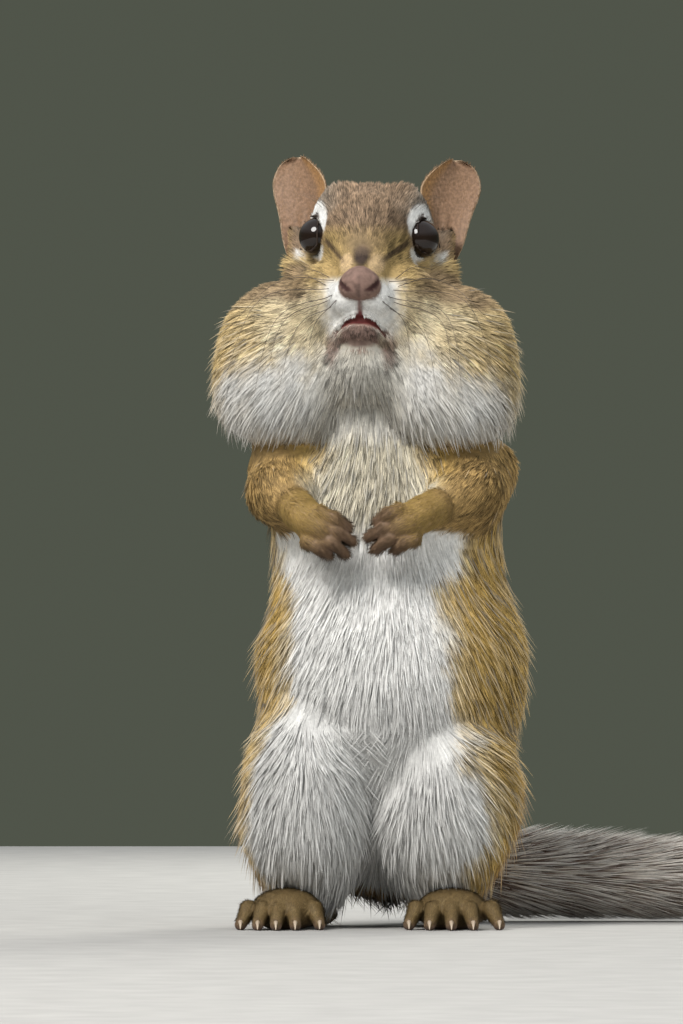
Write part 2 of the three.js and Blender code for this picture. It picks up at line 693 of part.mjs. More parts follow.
const FLOOR_CLEAR = 0.8; // the lowest middle line of a lock
function tailLock(t, turn, reach, draw) {
  const { at, along, side, up } = tailFrame(t);
  const out = side.clone().multiplyScalar(Math.cos(turn)).addScaledVector(up, Math.sin(turn));
  const root = TAIL_CORE_RADIUS * (1 - 0.72 * t ** 2.2) * 0.3;
  const tip = bushRadius(t) * (0.92 + 0.16 * draw());
  const points = [0, 0.45, 1].map((share) => {
    const lift = root + (tip - root) * share * (1.5 - 0.5 * share);
    const point = at.clone().addScaledVector(out, lift).addScaledVector(along, reach * share);
    return point.setZ(Math.max(point.z, FLOOR_CLEAR));
  });
  const radii = [0.8, 1, 0.1].map((share) => share * LOCK_WIDTH);
  return solid(tube(points, radii, 4, out, 0.4));
}

function tailPiece(name) {
  const [from, to] = TAIL_SPLITS[name];
  const draw = seeded(name.length * 977 + 5);
  const inset = half / TAIL_PATH.getLength();
  const start = from === 0 ? 0 : from + inset;
  const end = to === 1 ? 1 : to - inset;
  const pieces = [solid(tailCore(start, end))];
  const lockSpan = TAIL_LOCK_LENGTH / TAIL_PATH.getLength();
  for (let ring = 0; ring < LOCK_RINGS; ring++)
    for (let i = 0; i < LOCKS_ROUND; i++) {
      const share = (ring + 0.8 * draw()) / LOCK_RINGS;
      const last = to === 1 ? 0.99 : end - lockSpan * 0.55;
      const first = start + (from === 0 ? 0.07 : 0.015);
      const t = first + (last - first) * share;
      const turn = ((i + 0.5 * (ring % 2) + 0.5 * draw()) / LOCKS_ROUND) * 2 * Math.PI;
      const ease = 0.72 + 0.28 * Math.sin(Math.PI * Math.min(1, 0.25 + t));
      pieces.push(tailLock(t, turn, TAIL_LOCK_LENGTH * ease * (0.88 + 0.24 * draw()), draw));
    }
  let piece = union(pieces);
  const cuts = [[start, 1, from !== 0], [end, -1, to !== 1]];
  for (const [t, sign, wanted] of cuts) {
    if (!wanted) continue;
    const { at, along } = tailFrame(t);
    piece = piece.intersect(solid(halfSpace(at, along.clone().multiplyScalar(sign))));
  }
  return piece.intersect(solid(block({ z: [0, FAR] }))).subtract(bodyGrown);
}

// The nodes and their finishes

const FINISHES = {
  coat: { color: "#b58a55", roughness: 0.9 },
  pale: { color: "#ddd6c8", roughness: 0.9 },
  skin: { color: "#a9806b", roughness: 0.6 },
  paw: { color: "#b08a66", roughness: 0.75 },
  tail: { color: "#6f6a63", roughness: 0.9 },
  eye: { color: "#0d0a09", roughness: 0.08 },
};

function allPieces() {
  const made = {
    head: [headPiece(), "coat"],
    neck: [neckPiece(), "pale"],
    nose: [nosePiece(), "skin"],
  };
  for (const [name, piece] of Object.entries(torsoPieces())) made[name] = [piece, "coat"];
  for (const [side, sign] of Object.entries(SIDES)) {
    made[`cheek_pouch_${side}`] = [bodySolid.intersect(pouchSpace(side, -half)), "coat"];
    made[`ear_${side}`] = [earPiece(sign), "skin"];
    made[`eye_${side}`] = [solid(eyeBall(sign, EYE_RADIUS)), "eye"];
    for (const [name, piece] of Object.entries(legPieces(side))) made[name] = [piece, "coat"];
    for (const [name, piece] of Object.entries(armPieces(side)))
      made[name] = [piece, name.startsWith("forepaw") ? "paw" : "coat"];
    made[`hindfoot_${side}`] = [footPiece(side), "paw"];
  }
  for (const name of Object.keys(TAIL_SPLITS)) made[name] = [tailPiece(name), "tail"];
  return made;
}

const chipmunk = new THREE.Group();
const floorCut = solid(block({ z: [FLOOR_FLAT, FAR] }));
for (const [name, [piece, finish]] of Object.entries(allPieces())) {
  const kept = welded(largest(piece.intersect(floorCut)));
  const mesh = new THREE.Mesh(geometryOf(kept), new THREE.MeshStandardMaterial(FINISHES[finish]));
  mesh.name = name;
  chipmunk.add(mesh);
}

// The part's origin is on the floor, under the middle of its box
const box = new THREE.Box3().setFromObject(chipmunk);
const middle = box.getCenter(new THREE.Vector3());
chipmunk.position.set(-middle.x, -middle.y, -box.min.z);

export default chipmunk;
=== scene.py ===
"""The looks of a standing eastern chipmunk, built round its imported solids.

Shapes are worked out in millimetres on the animal's own axes (X to its left, Y to its back, Z up, the
body's middle near the origin), and moved to the frame in metres when a mesh is made.
"""
import math

import bpy
import numpy as np
from mathutils import Matrix, Vector


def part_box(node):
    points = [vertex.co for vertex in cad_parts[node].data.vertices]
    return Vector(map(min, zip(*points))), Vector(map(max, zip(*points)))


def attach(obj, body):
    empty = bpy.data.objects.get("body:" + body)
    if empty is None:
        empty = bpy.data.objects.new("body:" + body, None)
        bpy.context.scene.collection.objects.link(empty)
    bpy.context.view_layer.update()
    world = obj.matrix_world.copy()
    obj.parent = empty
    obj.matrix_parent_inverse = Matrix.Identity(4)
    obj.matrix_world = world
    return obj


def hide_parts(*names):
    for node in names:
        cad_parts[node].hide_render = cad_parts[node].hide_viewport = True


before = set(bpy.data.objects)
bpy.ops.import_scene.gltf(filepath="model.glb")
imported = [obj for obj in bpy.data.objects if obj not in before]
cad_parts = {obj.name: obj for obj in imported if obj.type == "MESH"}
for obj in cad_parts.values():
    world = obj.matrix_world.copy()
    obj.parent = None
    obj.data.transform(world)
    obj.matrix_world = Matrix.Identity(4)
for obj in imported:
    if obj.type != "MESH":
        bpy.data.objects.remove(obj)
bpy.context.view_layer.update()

# Head pose and eyes, as in the solids
EYE_LEVEL = 137.9
HEAD_AT = np.array([-3.3, -8.0, EYE_LEVEL])
HEAD_YAW = math.radians(-5.5)
HEAD_ROLL = math.radians(1.5)
HEAD_TURN = np.array(Matrix.Rotation(HEAD_YAW, 3, "Z") @ Matrix.Rotation(HEAD_ROLL, 3, "Y"))
EYE_RADIUS = 3.9
EYE_CENTRE = np.array([10.2, 1.0, -0.2])
EYE_FACING = np.array([0.74, -0.62, 0.2]) / np.linalg.norm([0.74, -0.62, 0.2])
NOSE_CENTRE = np.array([0, -17.0, -10.2])
NOSE_RADII = (3.3, 2.5, 3.3)
BODY_YAW = -12.0  # degrees, where the middle of the white belly faces
SIDES = {"right": -1, "left": 1}

# Heights from which the face's shapes, its marks and the head itself begin
SHAPES_FROM = 108
MARKS_FROM = 110
HEAD_FROM = 112


def on_head(x, y, z):
    return HEAD_TURN @ np.array([x, y, z], float) + HEAD_AT


def mirrored(point, side):
    return np.array([point[0] * side, point[1], point[2]], float)


low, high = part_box("eye_left")
EYE_MIDDLE = (np.array(low) + np.array(high)) * 500  # half the corners' sum, from metres to millimetres
SHIFT = EYE_MIDDLE - on_head(*EYE_CENTRE)


def to_frame(points):
    return (np.asarray(points) + SHIFT) * 0.001


# Signed distances of many points at once, negative inside


def ellipsoid(centre, radii):
    centre = np.array(centre, float)
    radii = np.array(radii, float)

    def field(p):
        near = np.linalg.norm((p - centre) / radii, axis=-1)
        steep = np.linalg.norm((p - centre) / radii**2, axis=-1)
        return near * (near - 1) / np.maximum(steep, 1e-9)

    return field


def round_cone(a, b, radius_a, radius_b):
    a = np.array(a, float)
    along = np.array(b, float) - a

    def field(p):
        t = np.clip((p - a) @ along / (along @ along), 0, 1)
        away = np.linalg.norm(p - a - t[..., None] * along, axis=-1)
        return away - radius_a - t * (radius_b - radius_a)

    return field


def smooth_min(a, b, softness):
    near = np.maximum(softness - np.abs(a - b), 0) / softness
    return np.minimum(a, b) - near * near * softness * 0.25


def smooth_union(softness, *fields):
    def field(p):
        best = fields[0](p)
        for other in fields[1:]:
            best = smooth_min(best, other(p), softness)
        return best

    return field


def both_sides(make):
    return [make(side) for side in SIDES.values()]


face = smooth_union(
    2.4,
    smooth_union(
        4,
        ellipsoid([0, 8, -1.6], [14.3, 14, 13]),
        ellipsoid([0, -2, 1.2], [8.6, 9.4, 8]),
        round_cone([0, -3, -3.4], [0, -13.2, -9.4], 7.8, 4.3),
        round_cone([0, -2, -14.6], [0, -10.2, -18.2], 7, 3.9),
        ellipsoid([0, -3.2, -25], [9, 10, 9]),
    ),
    *both_sides(lambda s: ellipsoid([s * 6.2, 4.6, 3.6], [6.4, 8.6, 7.6])),
    *both_sides(lambda s: ellipsoid([s * 2.9, -12.3, -12.8], [3.6, 4.4, 4])),
    *both_sides(lambda s: ellipsoid([s * 7.6, -3.4, -13.4], [7.4, 9, 8.4])),
    *both_sides(lambda s: ellipsoid([s * 9.7, 1.2, -0.2], [3.4, 3.4, 4.4])),
)
pouches = both_sides(
    lambda s: smooth_union(
        4,
        ellipsoid([s * 15.2, 3.4, -24.8], [15.2, 15, 16.6]),
        ellipsoid([s * 15.8, 2.4, -30.6], [14.4, 14, 11.2]),
    )
)
head_local = smooth_union(4.5, face, *pouches)


def to_head(p):
    return (p - HEAD_AT) @ HEAD_TURN


def head_field(p):
    return head_local(to_head(p))


trunk = smooth_union(
    9,
    ellipsoid([-2, 3, 105], [15.5, 14.5, 18]),
    round_cone([-2, 4, 104], [-3.2, 3, 127], 14, 11.5),
    ellipsoid([0.2, 1.5, 82], [24, 18.5, 22]),
    ellipsoid([1.4, 1, 52], [27.2, 23.5, 31]),
    ellipsoid([1, 11.5, 30], [23.6, 20, 24]),
)
LEGS = [
    ([-15.4, -5, 28], [12.9, 18.5, 21.5], [-15.8, -9, 22], [-15, 0, 12.4]),
    ([12.3, -4, 28], [15, 18.5, 21.5], [9.6, -8, 22], [11, 2, 12.4]),
]
legs = [smooth_union(5, ellipsoid(t, r), round_cone(k, a, 11.6, 9.4)) for t, r, k, a in LEGS]
body_field = smooth_union(3, smooth_union(5, trunk, legs[0]), legs[1], head_field)

ARMS = {
    "right": {
        "shoulder": [-20.5, -1, 92],
        "elbow": [-20.8, -10, 87],
        "wrist": [-16.6, -20.6, 82.4],
        "knuckles": [[-13.2, 82.6], [-12.8, 80.4], [-13.2, 78.2], [-15.4, 76.6]],
        "tips": [[-7.6, 79.6], [-6.8, 77], [-8.2, 74.6], [-11.4, 74.4]],
    },
    "left": {
        "shoulder": [19.5, -0.5, 91.5],
        "elbow": [17, -11, 87],
        "wrist": [7.4, -20.6, 82.4],
        "knuckles": [[2.8, 83], [2.2, 80.6], [2.6, 78.4], [5.6, 77.2]],
        "tips": [[-1.4, 80.8], [-3, 77.8], [-1.8, 75.4], [2, 75.4]],
    },
}
KNUCKLE_Y = -25
TIP_Y = -24
FINGER_RADIUS = 1.2


def lower_arm(arm):
    return round_cone(arm["elbow"], arm["wrist"], 6.8, 3.3)


def arm_field(arm):
    return smooth_union(3, round_cone(arm["shoulder"], arm["elbow"], 7.6, 7), lower_arm(arm))


arm_fields = [arm_field(arm) for arm in ARMS.values()]


FEET = {
    "right": {"heel": [-14, 12, 2.7], "ball": [-19.6, -15.5, 4.1], "toes": [-28.6, -25.2, -21.6, -17.8, -13]},
    "left": {"heel": [11.4, 13.5, 2.7], "ball": [13.2, -15, 4.1], "toes": [4.6, 8.6, 12.9, 17.2, 22.4]},
}
TOE_REACH = [-22, -25, -26, -25.2, -22.2]


def unit(v):
    return v / np.maximum(np.linalg.norm(v, axis=-1, keepdims=True), 1e-9)


def apart(p, q):
    return np.linalg.norm(p - q, axis=-1)


def fade(start, end, x):
    """0 up to start and 1 from end, smooth between them. Start may lie above end."""
    t = np.clip((x - start) / (end - start), 0, 1)
    return t * t * (3 - 2 * t)


# Repeatable noise: values of a lattice, blended smoothly, from -1 to 1


def hashed(cells, seed):
    h = cells[..., 0] * 73856093 ^ cells[..., 1] * 19349663 ^ cells[..., 2] * 83492791 ^ seed * 2654435
    h = (h ^ (h >> 13)) * 1274126177 & 0x7FFFFFFF
    return (h ^ (h >> 16)) % 65536 / 32768.0 - 1


def noise(p, cell, seed=0):
    scaled = p / cell
    base = np.floor(scaled).astype(np.int64)
    f = scaled - base
    f = f * f * (3 - 2 * f)
    total = np.zeros(len(p))
    for corner in np.ndindex(2, 2, 2):
        weight = np.prod(np.where(np.array(corner) == 1, f, 1 - f), axis=-1)
        total += weight * hashed(base + np.array(corner), seed)
    return total


def noise_vector(p, cell, seed=0):
    return np.stack([noise(p, cell, seed + i) for i in range(3)], axis=-1)


# The skin: the outline of the solids, drawn in by the depth of the coat, with the face's bare details


BODY_DEPTH = 1.35
ARM_DEPTH = 1.0


def coat_depth(p):
    """How far the skin lies inside the solids: little at the nose, most on the body."""
    head_depth = 0.3 + 0.9 * fade(4, 28, apart(to_head(p), NOSE_CENTRE))
    return head_depth + (BODY_DEPTH - head_depth) * fade(HEAD_FROM, 98, p[..., 2])


def on_face(x, z, out):
    """The point of the face behind x and z on the head's own axes, moved out of the surface."""
    front, back = -26.0, 4.0
    for _ in range(24):
        y = (front + back) / 2
        if head_local(np.array([[x, y, z]]))[0] > 0:
            front = y
        else:
            back = y
    return np.array([x, front - out, z])


# The mouth, at shares from -1 to 1 of its half width
MOUTH_LEVEL = -17.0
MOUTH_CORNER = (6.0, -22.0)
ALONG = np.linspace(-1, 1, 11)


def mouth_line(out, up):
    points = []
    for t in ALONG:
        z = MOUTH_LEVEL + (MOUTH_CORNER[1] - MOUTH_LEVEL) * abs(t) ** 2.6 + up
        points.append(on_face(MOUTH_CORNER[0] * t, z, out))
    return points


def chain(points, radii):
    return [round_cone(a, b, ra, rb) for a, b, ra, rb in zip(points, points[1:], radii, radii[1:])]


def both_chains(points_of, radii):
    """A chain on each side of the face, in one list."""
    return [part for side in SIDES.values() for part in chain(points_of(side), radii)]


def nearest(fields, q):
    return np.min([f(q) for f in fields], axis=0)


upper_lip = chain(mouth_line(-0.7, 0.85), 0.8 - 0.35 * np.abs(ALONG))
lower_lip = chain(mouth_line(-0.9, -2.0), 1.75 - 1.2 * np.abs(ALONG) ** 1.5)
mouth_gap = chain(mouth_line(0.1, -0.15), 0.14 + 0.62 * (1 - np.abs(ALONG)) ** 1.3)
FOLD = ((4.6, -19.0), (5.7, -21.4), (6.3, -24.0), (6.2, -26.5))
mouth_fold = both_chains(lambda s: [on_face(s * x, z, 0.1) for x, z in FOLD], [0.3, 0.45, 0.35, 0.1])
cleft = chain([on_face(0, z, 0.25) for z in (-12.6, -14, -15.4, -16.8)], [0.25, 0.34, 0.36, 0.5])

nose_ball = smooth_union(
    1.2,
    ellipsoid(NOSE_CENTRE, NOSE_RADII),
    *both_sides(lambda s: ellipsoid([s * 2.4, -16.2, -10.6], [1.6, 2.2, 2.2])),
)
GROOVE = ([0, -19.6, -8.6], [0, -19.9, -10.4], [0, -19.4, -12.2], [0, -18.4, -13.6])
nose_groove = chain(GROOVE, [0.15, 0.3, 0.42, 0.35])
NOSTRIL = ([1.3, -19.5, -11.9], [2.5, -18.9, -11.5], [3.7, -17.7, -10.3], [4.2, -16.4, -9.2])
nostrils = both_chains(lambda s: [mirrored(p, s) for p in NOSTRIL], [0.24, 0.45, 0.4, 0.2])

NOSE_CORNER = math.radians(215)  # where round the eye its lids make a point
LID_THICK = 0.28


def eye_angles(q, side):
    """Distance from the eye's middle, and how far outside the lids' edge a point lies, as an angle."""
    axis = mirrored(EYE_FACING, side)
    up = unit(np.array([0, 0, 1.0]) - axis[2] * axis)
    from_eye = q - mirrored(EYE_CENTRE, side)
    distance = np.maximum(np.linalg.norm(from_eye, axis=-1), 1e-6)
    angle = np.arccos(np.clip(from_eye @ axis / distance, -1, 1))
    across = from_eye @ np.cross(up, axis) * side
    turn = np.arctan2(from_eye @ up, across)
    # the opening is taller than wide, with a point at the lower corner next to the nose
    edge = 0.98 - 0.11 * np.cos(2 * turn) + 0.16 * np.exp(-(np.sin((turn - NOSE_CORNER) / 2) / 0.22) ** 2)
    return distance, angle - edge


def lids(q):
    rings = []
    for side in SIDES.values():
        distance, beyond = eye_angles(q, side)
        rings.append(np.hypot(distance - EYE_RADIUS - 0.25, beyond * EYE_RADIUS) - LID_THICK)
    return np.min(rings, axis=0)


def eye_openings(q):
    """Negative inside the openings through which the eyes show."""
    found = []
    for side in SIDES.values():
        distance, beyond = eye_angles(q, side)
        found.append(beyond * distance)
    return np.min(found, axis=0)


EAR_ROOT = ([12.5, 5.5, -8.5], [14.6, 6.5, 0])
EAR_ROOTS = both_sides(lambda s: round_cone(*[mirrored(p, s) for p in EAR_ROOT], 3.6, 1.8))
SOCKETS = both_sides(lambda s: ellipsoid(mirrored(EYE_CENTRE, s), [EYE_RADIUS + 0.05] * 3))


def skin_field(p):
    skin = body_field(p) + coat_depth(p)
    for arm in arm_fields:
        skin = smooth_min(skin, arm(p) + ARM_DEPTH, 6.0)
    near = p[..., 2] > SHAPES_FROM
    q = to_head(p[near])
    part = skin[near]
    for added, softness in ((EAR_ROOTS, 2.0), ([nose_ball], 0.7), (upper_lip, 0.8), (lower_lip, 0.8)):
        part = smooth_min(part, nearest(added, q), softness)
    part = -smooth_min(-part, eye_openings(q), 0.4)
    part = smooth_min(part, lids(q), 0.5)
    carved_parts = (
        (SOCKETS, 0.2),
        (nostrils, 0.4),
        (nose_groove, 0.4),
        (cleft, 0.5),
        (mouth_gap, 0.4),
        (mouth_fold, 0.8),
    )
    for carved, softness in carved_parts:
        part = -smooth_min(-part, nearest(carved, q), softness)
    skin[near] = part
    return skin


# A field's surface as a mesh of quads, with one point in each cell of a grid that the surface crosses

CORNERS = list(np.ndindex(2, 2, 2))
DRAWN_IN = 0.8  # how far each point is then moved onto the surface, as a share


def crossing_middles(values, cells):
    """The mean place at which the edges of each cell cross the surface, as shares of the cell."""
    at_corner = np.stack([values[tuple((cells + c).T)] for c in CORNERS], axis=-1)
    total = np.zeros((len(cells), 3))
    crossings = np.zeros(len(cells))
    for i, a in enumerate(CORNERS):
        for j, b in enumerate(CORNERS):
            if j <= i or sum(abs(m - n) for m, n in zip(a, b)) != 1:
                continue
            crossed = (at_corner[:, i] < 0) != (at_corner[:, j] < 0)
            with np.errstate(divide="ignore", invalid="ignore"):
                t = np.where(crossed, at_corner[:, i] / (at_corner[:, i] - at_corner[:, j]), 0)
            point = np.array(a) + t[:, None] * (np.array(b) - np.array(a))
            total += point * crossed[:, None]
            crossings += crossed
    return total / crossings[:, None]


def net_quads(inside, cells, size):
    """A quad round each edge of the grid that crosses the surface, facing outwards."""
    index = np.full(size, -1)
    index[tuple(cells.T)] = np.arange(len(cells))
    step = np.eye(3, dtype=int)
    quads = []
    for axis in range(3):
        one, two = (axis + 1) % 3, (axis + 2) % 3
        first = np.argwhere(np.diff(inside.astype(int), axis=axis) != 0)
        first = first[(first[:, one] > 0) & (first[:, two] > 0)]
        ring = [first - step[one] - step[two], first - step[two], first, first - step[one]]
        quad = np.stack([index[tuple(c.T)] for c in ring], axis=-1)
        outward = inside[tuple(first.T)]
        quads.append(np.where(outward[:, None], quad, quad[:, ::-1]))
    return np.concatenate(quads)


def gradient(field, p, step=0.2):
    return unit(np.stack([field(p + s) - field(p - s) for s in np.eye(3) * step], axis=-1))


def surface_net(field, *lines):
    """Points and quads of a field's surface on a grid with these lines along X, Y and Z."""
    grid = np.stack(np.meshgrid(*lines, indexing="ij"), axis=-1)
    values = field(grid.reshape(-1, 3)).reshape(grid.shape[:3])
    for axis in range(3):
        rim = [slice(None)] * 3
        for end in (0, -1):
            rim[axis] = end
            values[tuple(rim)] = 1.0
    inside = values < 0
    size = [n - 1 for n in inside.shape]
    counts = sum(inside[a : a + size[0], b : b + size[1], c : c + size[2]].astype(int) for a, b, c in CORNERS)
    cells = np.argwhere((counts > 0) & (counts < 8))
    share = crossing_middles(values, cells)
    starts = [np.asarray(line)[cells[:, k]] for k, line in enumerate(lines)]
    steps = [np.diff(line)[cells[:, k]] for k, line in enumerate(lines)]
    points = np.stack([starts[k] + share[:, k] * steps[k] for k in range(3)], axis=-1)
    points = points - field(points)[:, None] * gradient(field, points) * DRAWN_IN
    return points, net_quads(inside, cells, size)


def grid_lines(start, *stretches):
    lines = [start]
    for end, step in stretches:
        count = math.ceil((end - lines[-1]) / step)
        lines += list(np.linspace(lines[-1], end, count + 1)[1:])
    return lines


# The markings, with painted shadows beside the lower lip


def mix(a, b, t):
    return a + (b - a) * np.asarray(t)[..., None]


def colour(*rgb):
    return np.array(rgb, float)


WHITE = colour(0.84, 0.83, 0.80)
OFF_WHITE = colour(0.62, 0.59, 0.52)
CREAM = colour(0.72, 0.62, 0.43)
BUFF = colour(0.56, 0.41, 0.19)
OCHRE = colour(0.53, 0.35, 0.11)
TAWNY = colour(0.40, 0.26, 0.10)
RUFOUS = colour(0.34, 0.17, 0.06)
GRIZZLE = colour(0.30, 0.205, 0.13)
DARK = colour(0.045, 0.028, 0.02)
GREY = colour(0.23, 0.195, 0.155)
PINK = colour(0.20, 0.125, 0.10)
LIP = colour(0.25, 0.165, 0.135)
PAW = colour(0.16, 0.10, 0.06)
MOUTH_RED = colour(0.10, 0.018, 0.016)

# The back's stripes: degrees from its middle, half their width in degrees, colour
STRIPES = ((0, 3.5, DARK), (27.5, 3.6, DARK), (35.5, 4.4, CREAM), (43.5, 3.6, DARK))


def body_colour(p):
    x, z = p[:, 0], p[:, 2]
    centre_x = np.interp(z, [0, 40, 60, 100], [0, 0.5, 1.4, -1])
    wobble = noise(p, 7, 11) * 5 + noise(p, 2.2, 12) * 4
    around = np.degrees(np.arctan2(x - centre_x, -(p[:, 1] - 2.5))) + wobble
    white_middle = np.interp(z, [0, 45, 60, 80, 90], [-10, -11, -14, -15, -9])
    white_half = np.interp(
        z, [0, 30, 42, 50, 70, 74, 80, 84, 90, 97, 104], [47, 48, 43, 38, 36, 50, 62, 44, 32, 28, 30]
    )
    from_white = np.abs(around - white_middle) - white_half
    from_back = np.abs((around - BODY_YAW + 360) % 360 - 180)
    flank = mix(OCHRE, RUFOUS, fade(46, 14, z) * fade(50, 85, np.abs(around)) * 0.8)
    flank = mix(flank, GREY, fade(95, 60, from_back) * 0.65)
    striped = fade(24, 38, z)
    back = mix(flank, GREY, fade(62, 50, from_back) * striped)
    for middle, half_width, tone in STRIPES:
        band = fade(half_width + 2, half_width - 1, np.abs(from_back - middle))
        back = mix(back, tone, band * striped * 0.9)
    edge = mix(flank, CREAM, fade(16, 0, from_white) * 0.5)
    edge = mix(back, edge, fade(25, 8, from_white))
    chest = mix(WHITE, colour(0.60, 0.54, 0.41), fade(78, 86, z))
    chest = mix(chest, WHITE * 0.78, fade(54, 46, z))
    return mix(edge, chest, fade(5, -5, from_white))


def cheek_colour(x, y, z, rough, streaks):
    """Cheeks and pouches: buff above, cream in front, white below, dark along their tops."""
    tone = mix(BUFF, GREY, fade(6, 16, y) * 0.5)
    pale = fade(12, 0, y) * fade(27, 12, x + rough) * fade(-9, -14, z)
    tone = mix(tone, CREAM, pale * (0.7 + 0.25 * streaks))
    low = fade(-19, -27, z + rough * 2 + np.maximum(x - 14, 0) * 0.35) * fade(16, 5, y)
    tone = mix(tone, WHITE * 0.78, low * (0.9 + 0.1 * streaks))
    tone = mix(tone, BUFF, fade(25, 30, x + rough * 0.6) * fade(-40, -30, z) * 0.55)
    top_band = fade(4.5, 2, np.abs(z + 9.5 + 0.10 * (x - 12) + rough)) * fade(8, 12, x)
    tone = mix(tone, GRIZZLE * 0.75, top_band * fade(28, 20, x) * 0.75)
    under = fade(11, 6, x + rough * 0.5) * fade(-19, -24, z) * fade(8, 0, y)
    tone = mix(tone, OFF_WHITE * 0.85, under * 0.9)
    # brown shadows beside the lower lip
    beside = np.hypot((x - 5.2) / 1.5, (z + 21.5) / 4.0)
    return mix(tone, colour(0.17, 0.10, 0.08), fade(1.3, 0.4, beside + rough * 0.12) * 0.75)


def crown_marks(tone, x, y, z, rough):
    """Crown and nape, greyer at the edges, and the golden sides of the snout."""
    crown = fade(-5.5, -1.5, z + rough * 0.6)
    tone = mix(tone, GRIZZLE, crown)
    tone = mix(tone, GREY * 1.3, crown * fade(4, 11, x + rough) * fade(0, 6, z))
    tone = mix(tone, GREY, fade(4, 12, y) * fade(-12, -4, z))
    snout = fade(11, 7, x) * fade(1.5, -2, z) * fade(-2, -6, y) * fade(-12, -8, z)
    return mix(tone, colour(0.44, 0.31, 0.13), snout)


def muzzle_marks(tone, x, y, z, rough):
    """The white muzzle with the lip and the parting, the dark bridge of the nose and two pale patches."""
    wide = x + rough * 0.5 + np.maximum(-11 - z, 0) * 0.12
    muzzle = fade(9.0, 6.0, wide) * fade(-8.2, -10.5, z)
    tone = mix(tone, WHITE, muzzle * fade(-5, -8, y) * fade(-21, -17, z))
    lip = np.hypot(x / 4.2, (z + 20.3) / 2.5)
    tone = mix(tone, LIP, fade(1.2, 0.8, lip + rough * 0.08) * fade(-10, -13, y))
    patch = np.hypot((x - 3.0) / 1.5, (z + 6.1) / 1.9)
    tone = mix(tone, colour(0.62, 0.44, 0.24), fade(1.3, 0.7, patch) * fade(-10, -12, y))
    parting = fade(0.8, 0.3, x + rough * 0.1) * fade(-12.5, -13.5, z)
    parting = parting * fade(-17.4, -16.6, z)
    tone = mix(tone, colour(0.20, 0.09, 0.07), parting * fade(-10, -13, y) * 0.9)
    bridge = np.hypot(x / 2.0, (z + 4.6) / 2.7)
    tone = mix(tone, DARK, fade(1.3, 0.5, bridge) * fade(-8, -10.5, y))
    brow = np.hypot(x / 5.5, (z + 2.2) / 2.6) + rough * 0.1
    return mix(tone, GRIZZLE * 0.6, fade(1.2, 0.4, brow) * fade(-6, -9, y) * 0.6)


def eye_marks(tone, q, side, rough):
    """White above and below the eye, dark at its rims and in a line from each of its corners."""
    distance, beyond = eye_angles(q, side)
    near = distance < 9
    from_eye = q - mirrored(EYE_CENTRE, side)
    up = from_eye[:, 2]
    inward = -side * from_eye[:, 0]
    above = fade(0.62, 0.5, beyond) * fade(-0.6, 1.2, up) * fade(-4.4, -3.2, inward)
    above *= fade(6.9, 5.9, distance + rough * 0.2) * fade(7.0, 6.0, up)
    below = fade(0.62, 0.48, beyond) * fade(-2.2, -3.4, up) * fade(3.2, 2.0, inward)
    below *= fade(6.8, 5.8, distance + rough * 0.2)
    tone = mix(tone, WHITE, np.maximum(above, below) * near)
    tone = mix(tone, DARK * 1.5, fade(0.13, 0.05, beyond) * near)
    # from the corner by the nose down to the snout, and back from the outer corner to the ear
    inner = np.abs((up + 2.2) * 0.78 + (inward - 2.6) * 0.62)
    inner = fade(0.7, 0.25, inner) * fade(2.2, 2.8, inward) * fade(7.6, 5.4, inward)
    tone = mix(tone, DARK * 1.4, inner * 0.85)
    outer = fade(1.5, 0.6, np.abs(up - 0.4 + 0.15 * inward)) * fade(-2.8, -4, inward)
    return mix(tone, GRIZZLE * 0.5, outer * near * 0.7)


def head_colour(q):
    parts = (np.abs(q[:, 0]), q[:, 1], q[:, 2])
    rough = noise(q, 4, 21) * 1.2 + noise(q, 1.6, 22) * 0.7
    tone = cheek_colour(*parts, rough, noise(q * [1, 1, 0.6], 2.4, 23))
    tone = crown_marks(tone, *parts, rough)
    tone = muzzle_marks(tone, *parts, rough)
    for side in SIDES.values():
        tone = eye_marks(tone, q, side, rough)
    return tone


def coat_colour(p):
    tone = body_colour(p)
    share = fade(97, 101, p[:, 2]) * fade(3.5, 1, head_field(p))
    return mix(tone, head_colour(to_head(p)), share)


# Meshes


def make_object(name, points, polygons):
    """An object from points and polygons of equal size, made in the frame's metres."""
    mesh = bpy.data.meshes.new(name)
    points = to_frame(points).astype(np.float32)
    polygons = np.asarray(polygons, np.int32)
    mesh.vertices.add(len(points))
    mesh.vertices.foreach_set("co", points.ravel())
    mesh.loops.add(polygons.size)
    mesh.loops.foreach_set("vertex_index", polygons.ravel())
    mesh.polygons.add(len(polygons))
    mesh.polygons.foreach_set("loop_start", np.arange(len(polygons), dtype=np.int32) * polygons.shape[1])
    mesh.update(calc_edges=True)
    mesh.polygons.foreach_set("use_smooth", np.ones(len(polygons), bool))
    obj = bpy.data.objects.new(name, mesh)
    bpy.context.scene.collection.objects.link(obj)
    return obj


def paint(obj, rgb):
    rgba = np.concatenate([np.clip(rgb, 0, 1), np.ones((len(rgb), 1))], axis=1).astype(np.float32)
    layer = obj.data.color_attributes.new("tone", "FLOAT_COLOR", "POINT")
    layer.data.foreach_set("color", rgba.ravel())


def vertex_normals(points, quads):
    a, b, c, d = (points[quads[:, i]] for i in range(4))
    face_normal = np.cross(c - a, d - b)
    normals = np.zeros_like(points)
    for i in range(4):
        np.add.at(normals, quads[:, i], face_normal)
    return unit(normals)


def link(tree, output, target):
    tree.links.new(output, target)


def add_node(tree, kind, **values):
    """A new node with these inputs set, where From_Min stands for From Min."""
    node = tree.nodes.new("ShaderNode" + kind)
    for name, value in values.items():
        node.inputs[name.replace("_", " ")].default_value = value
    return node


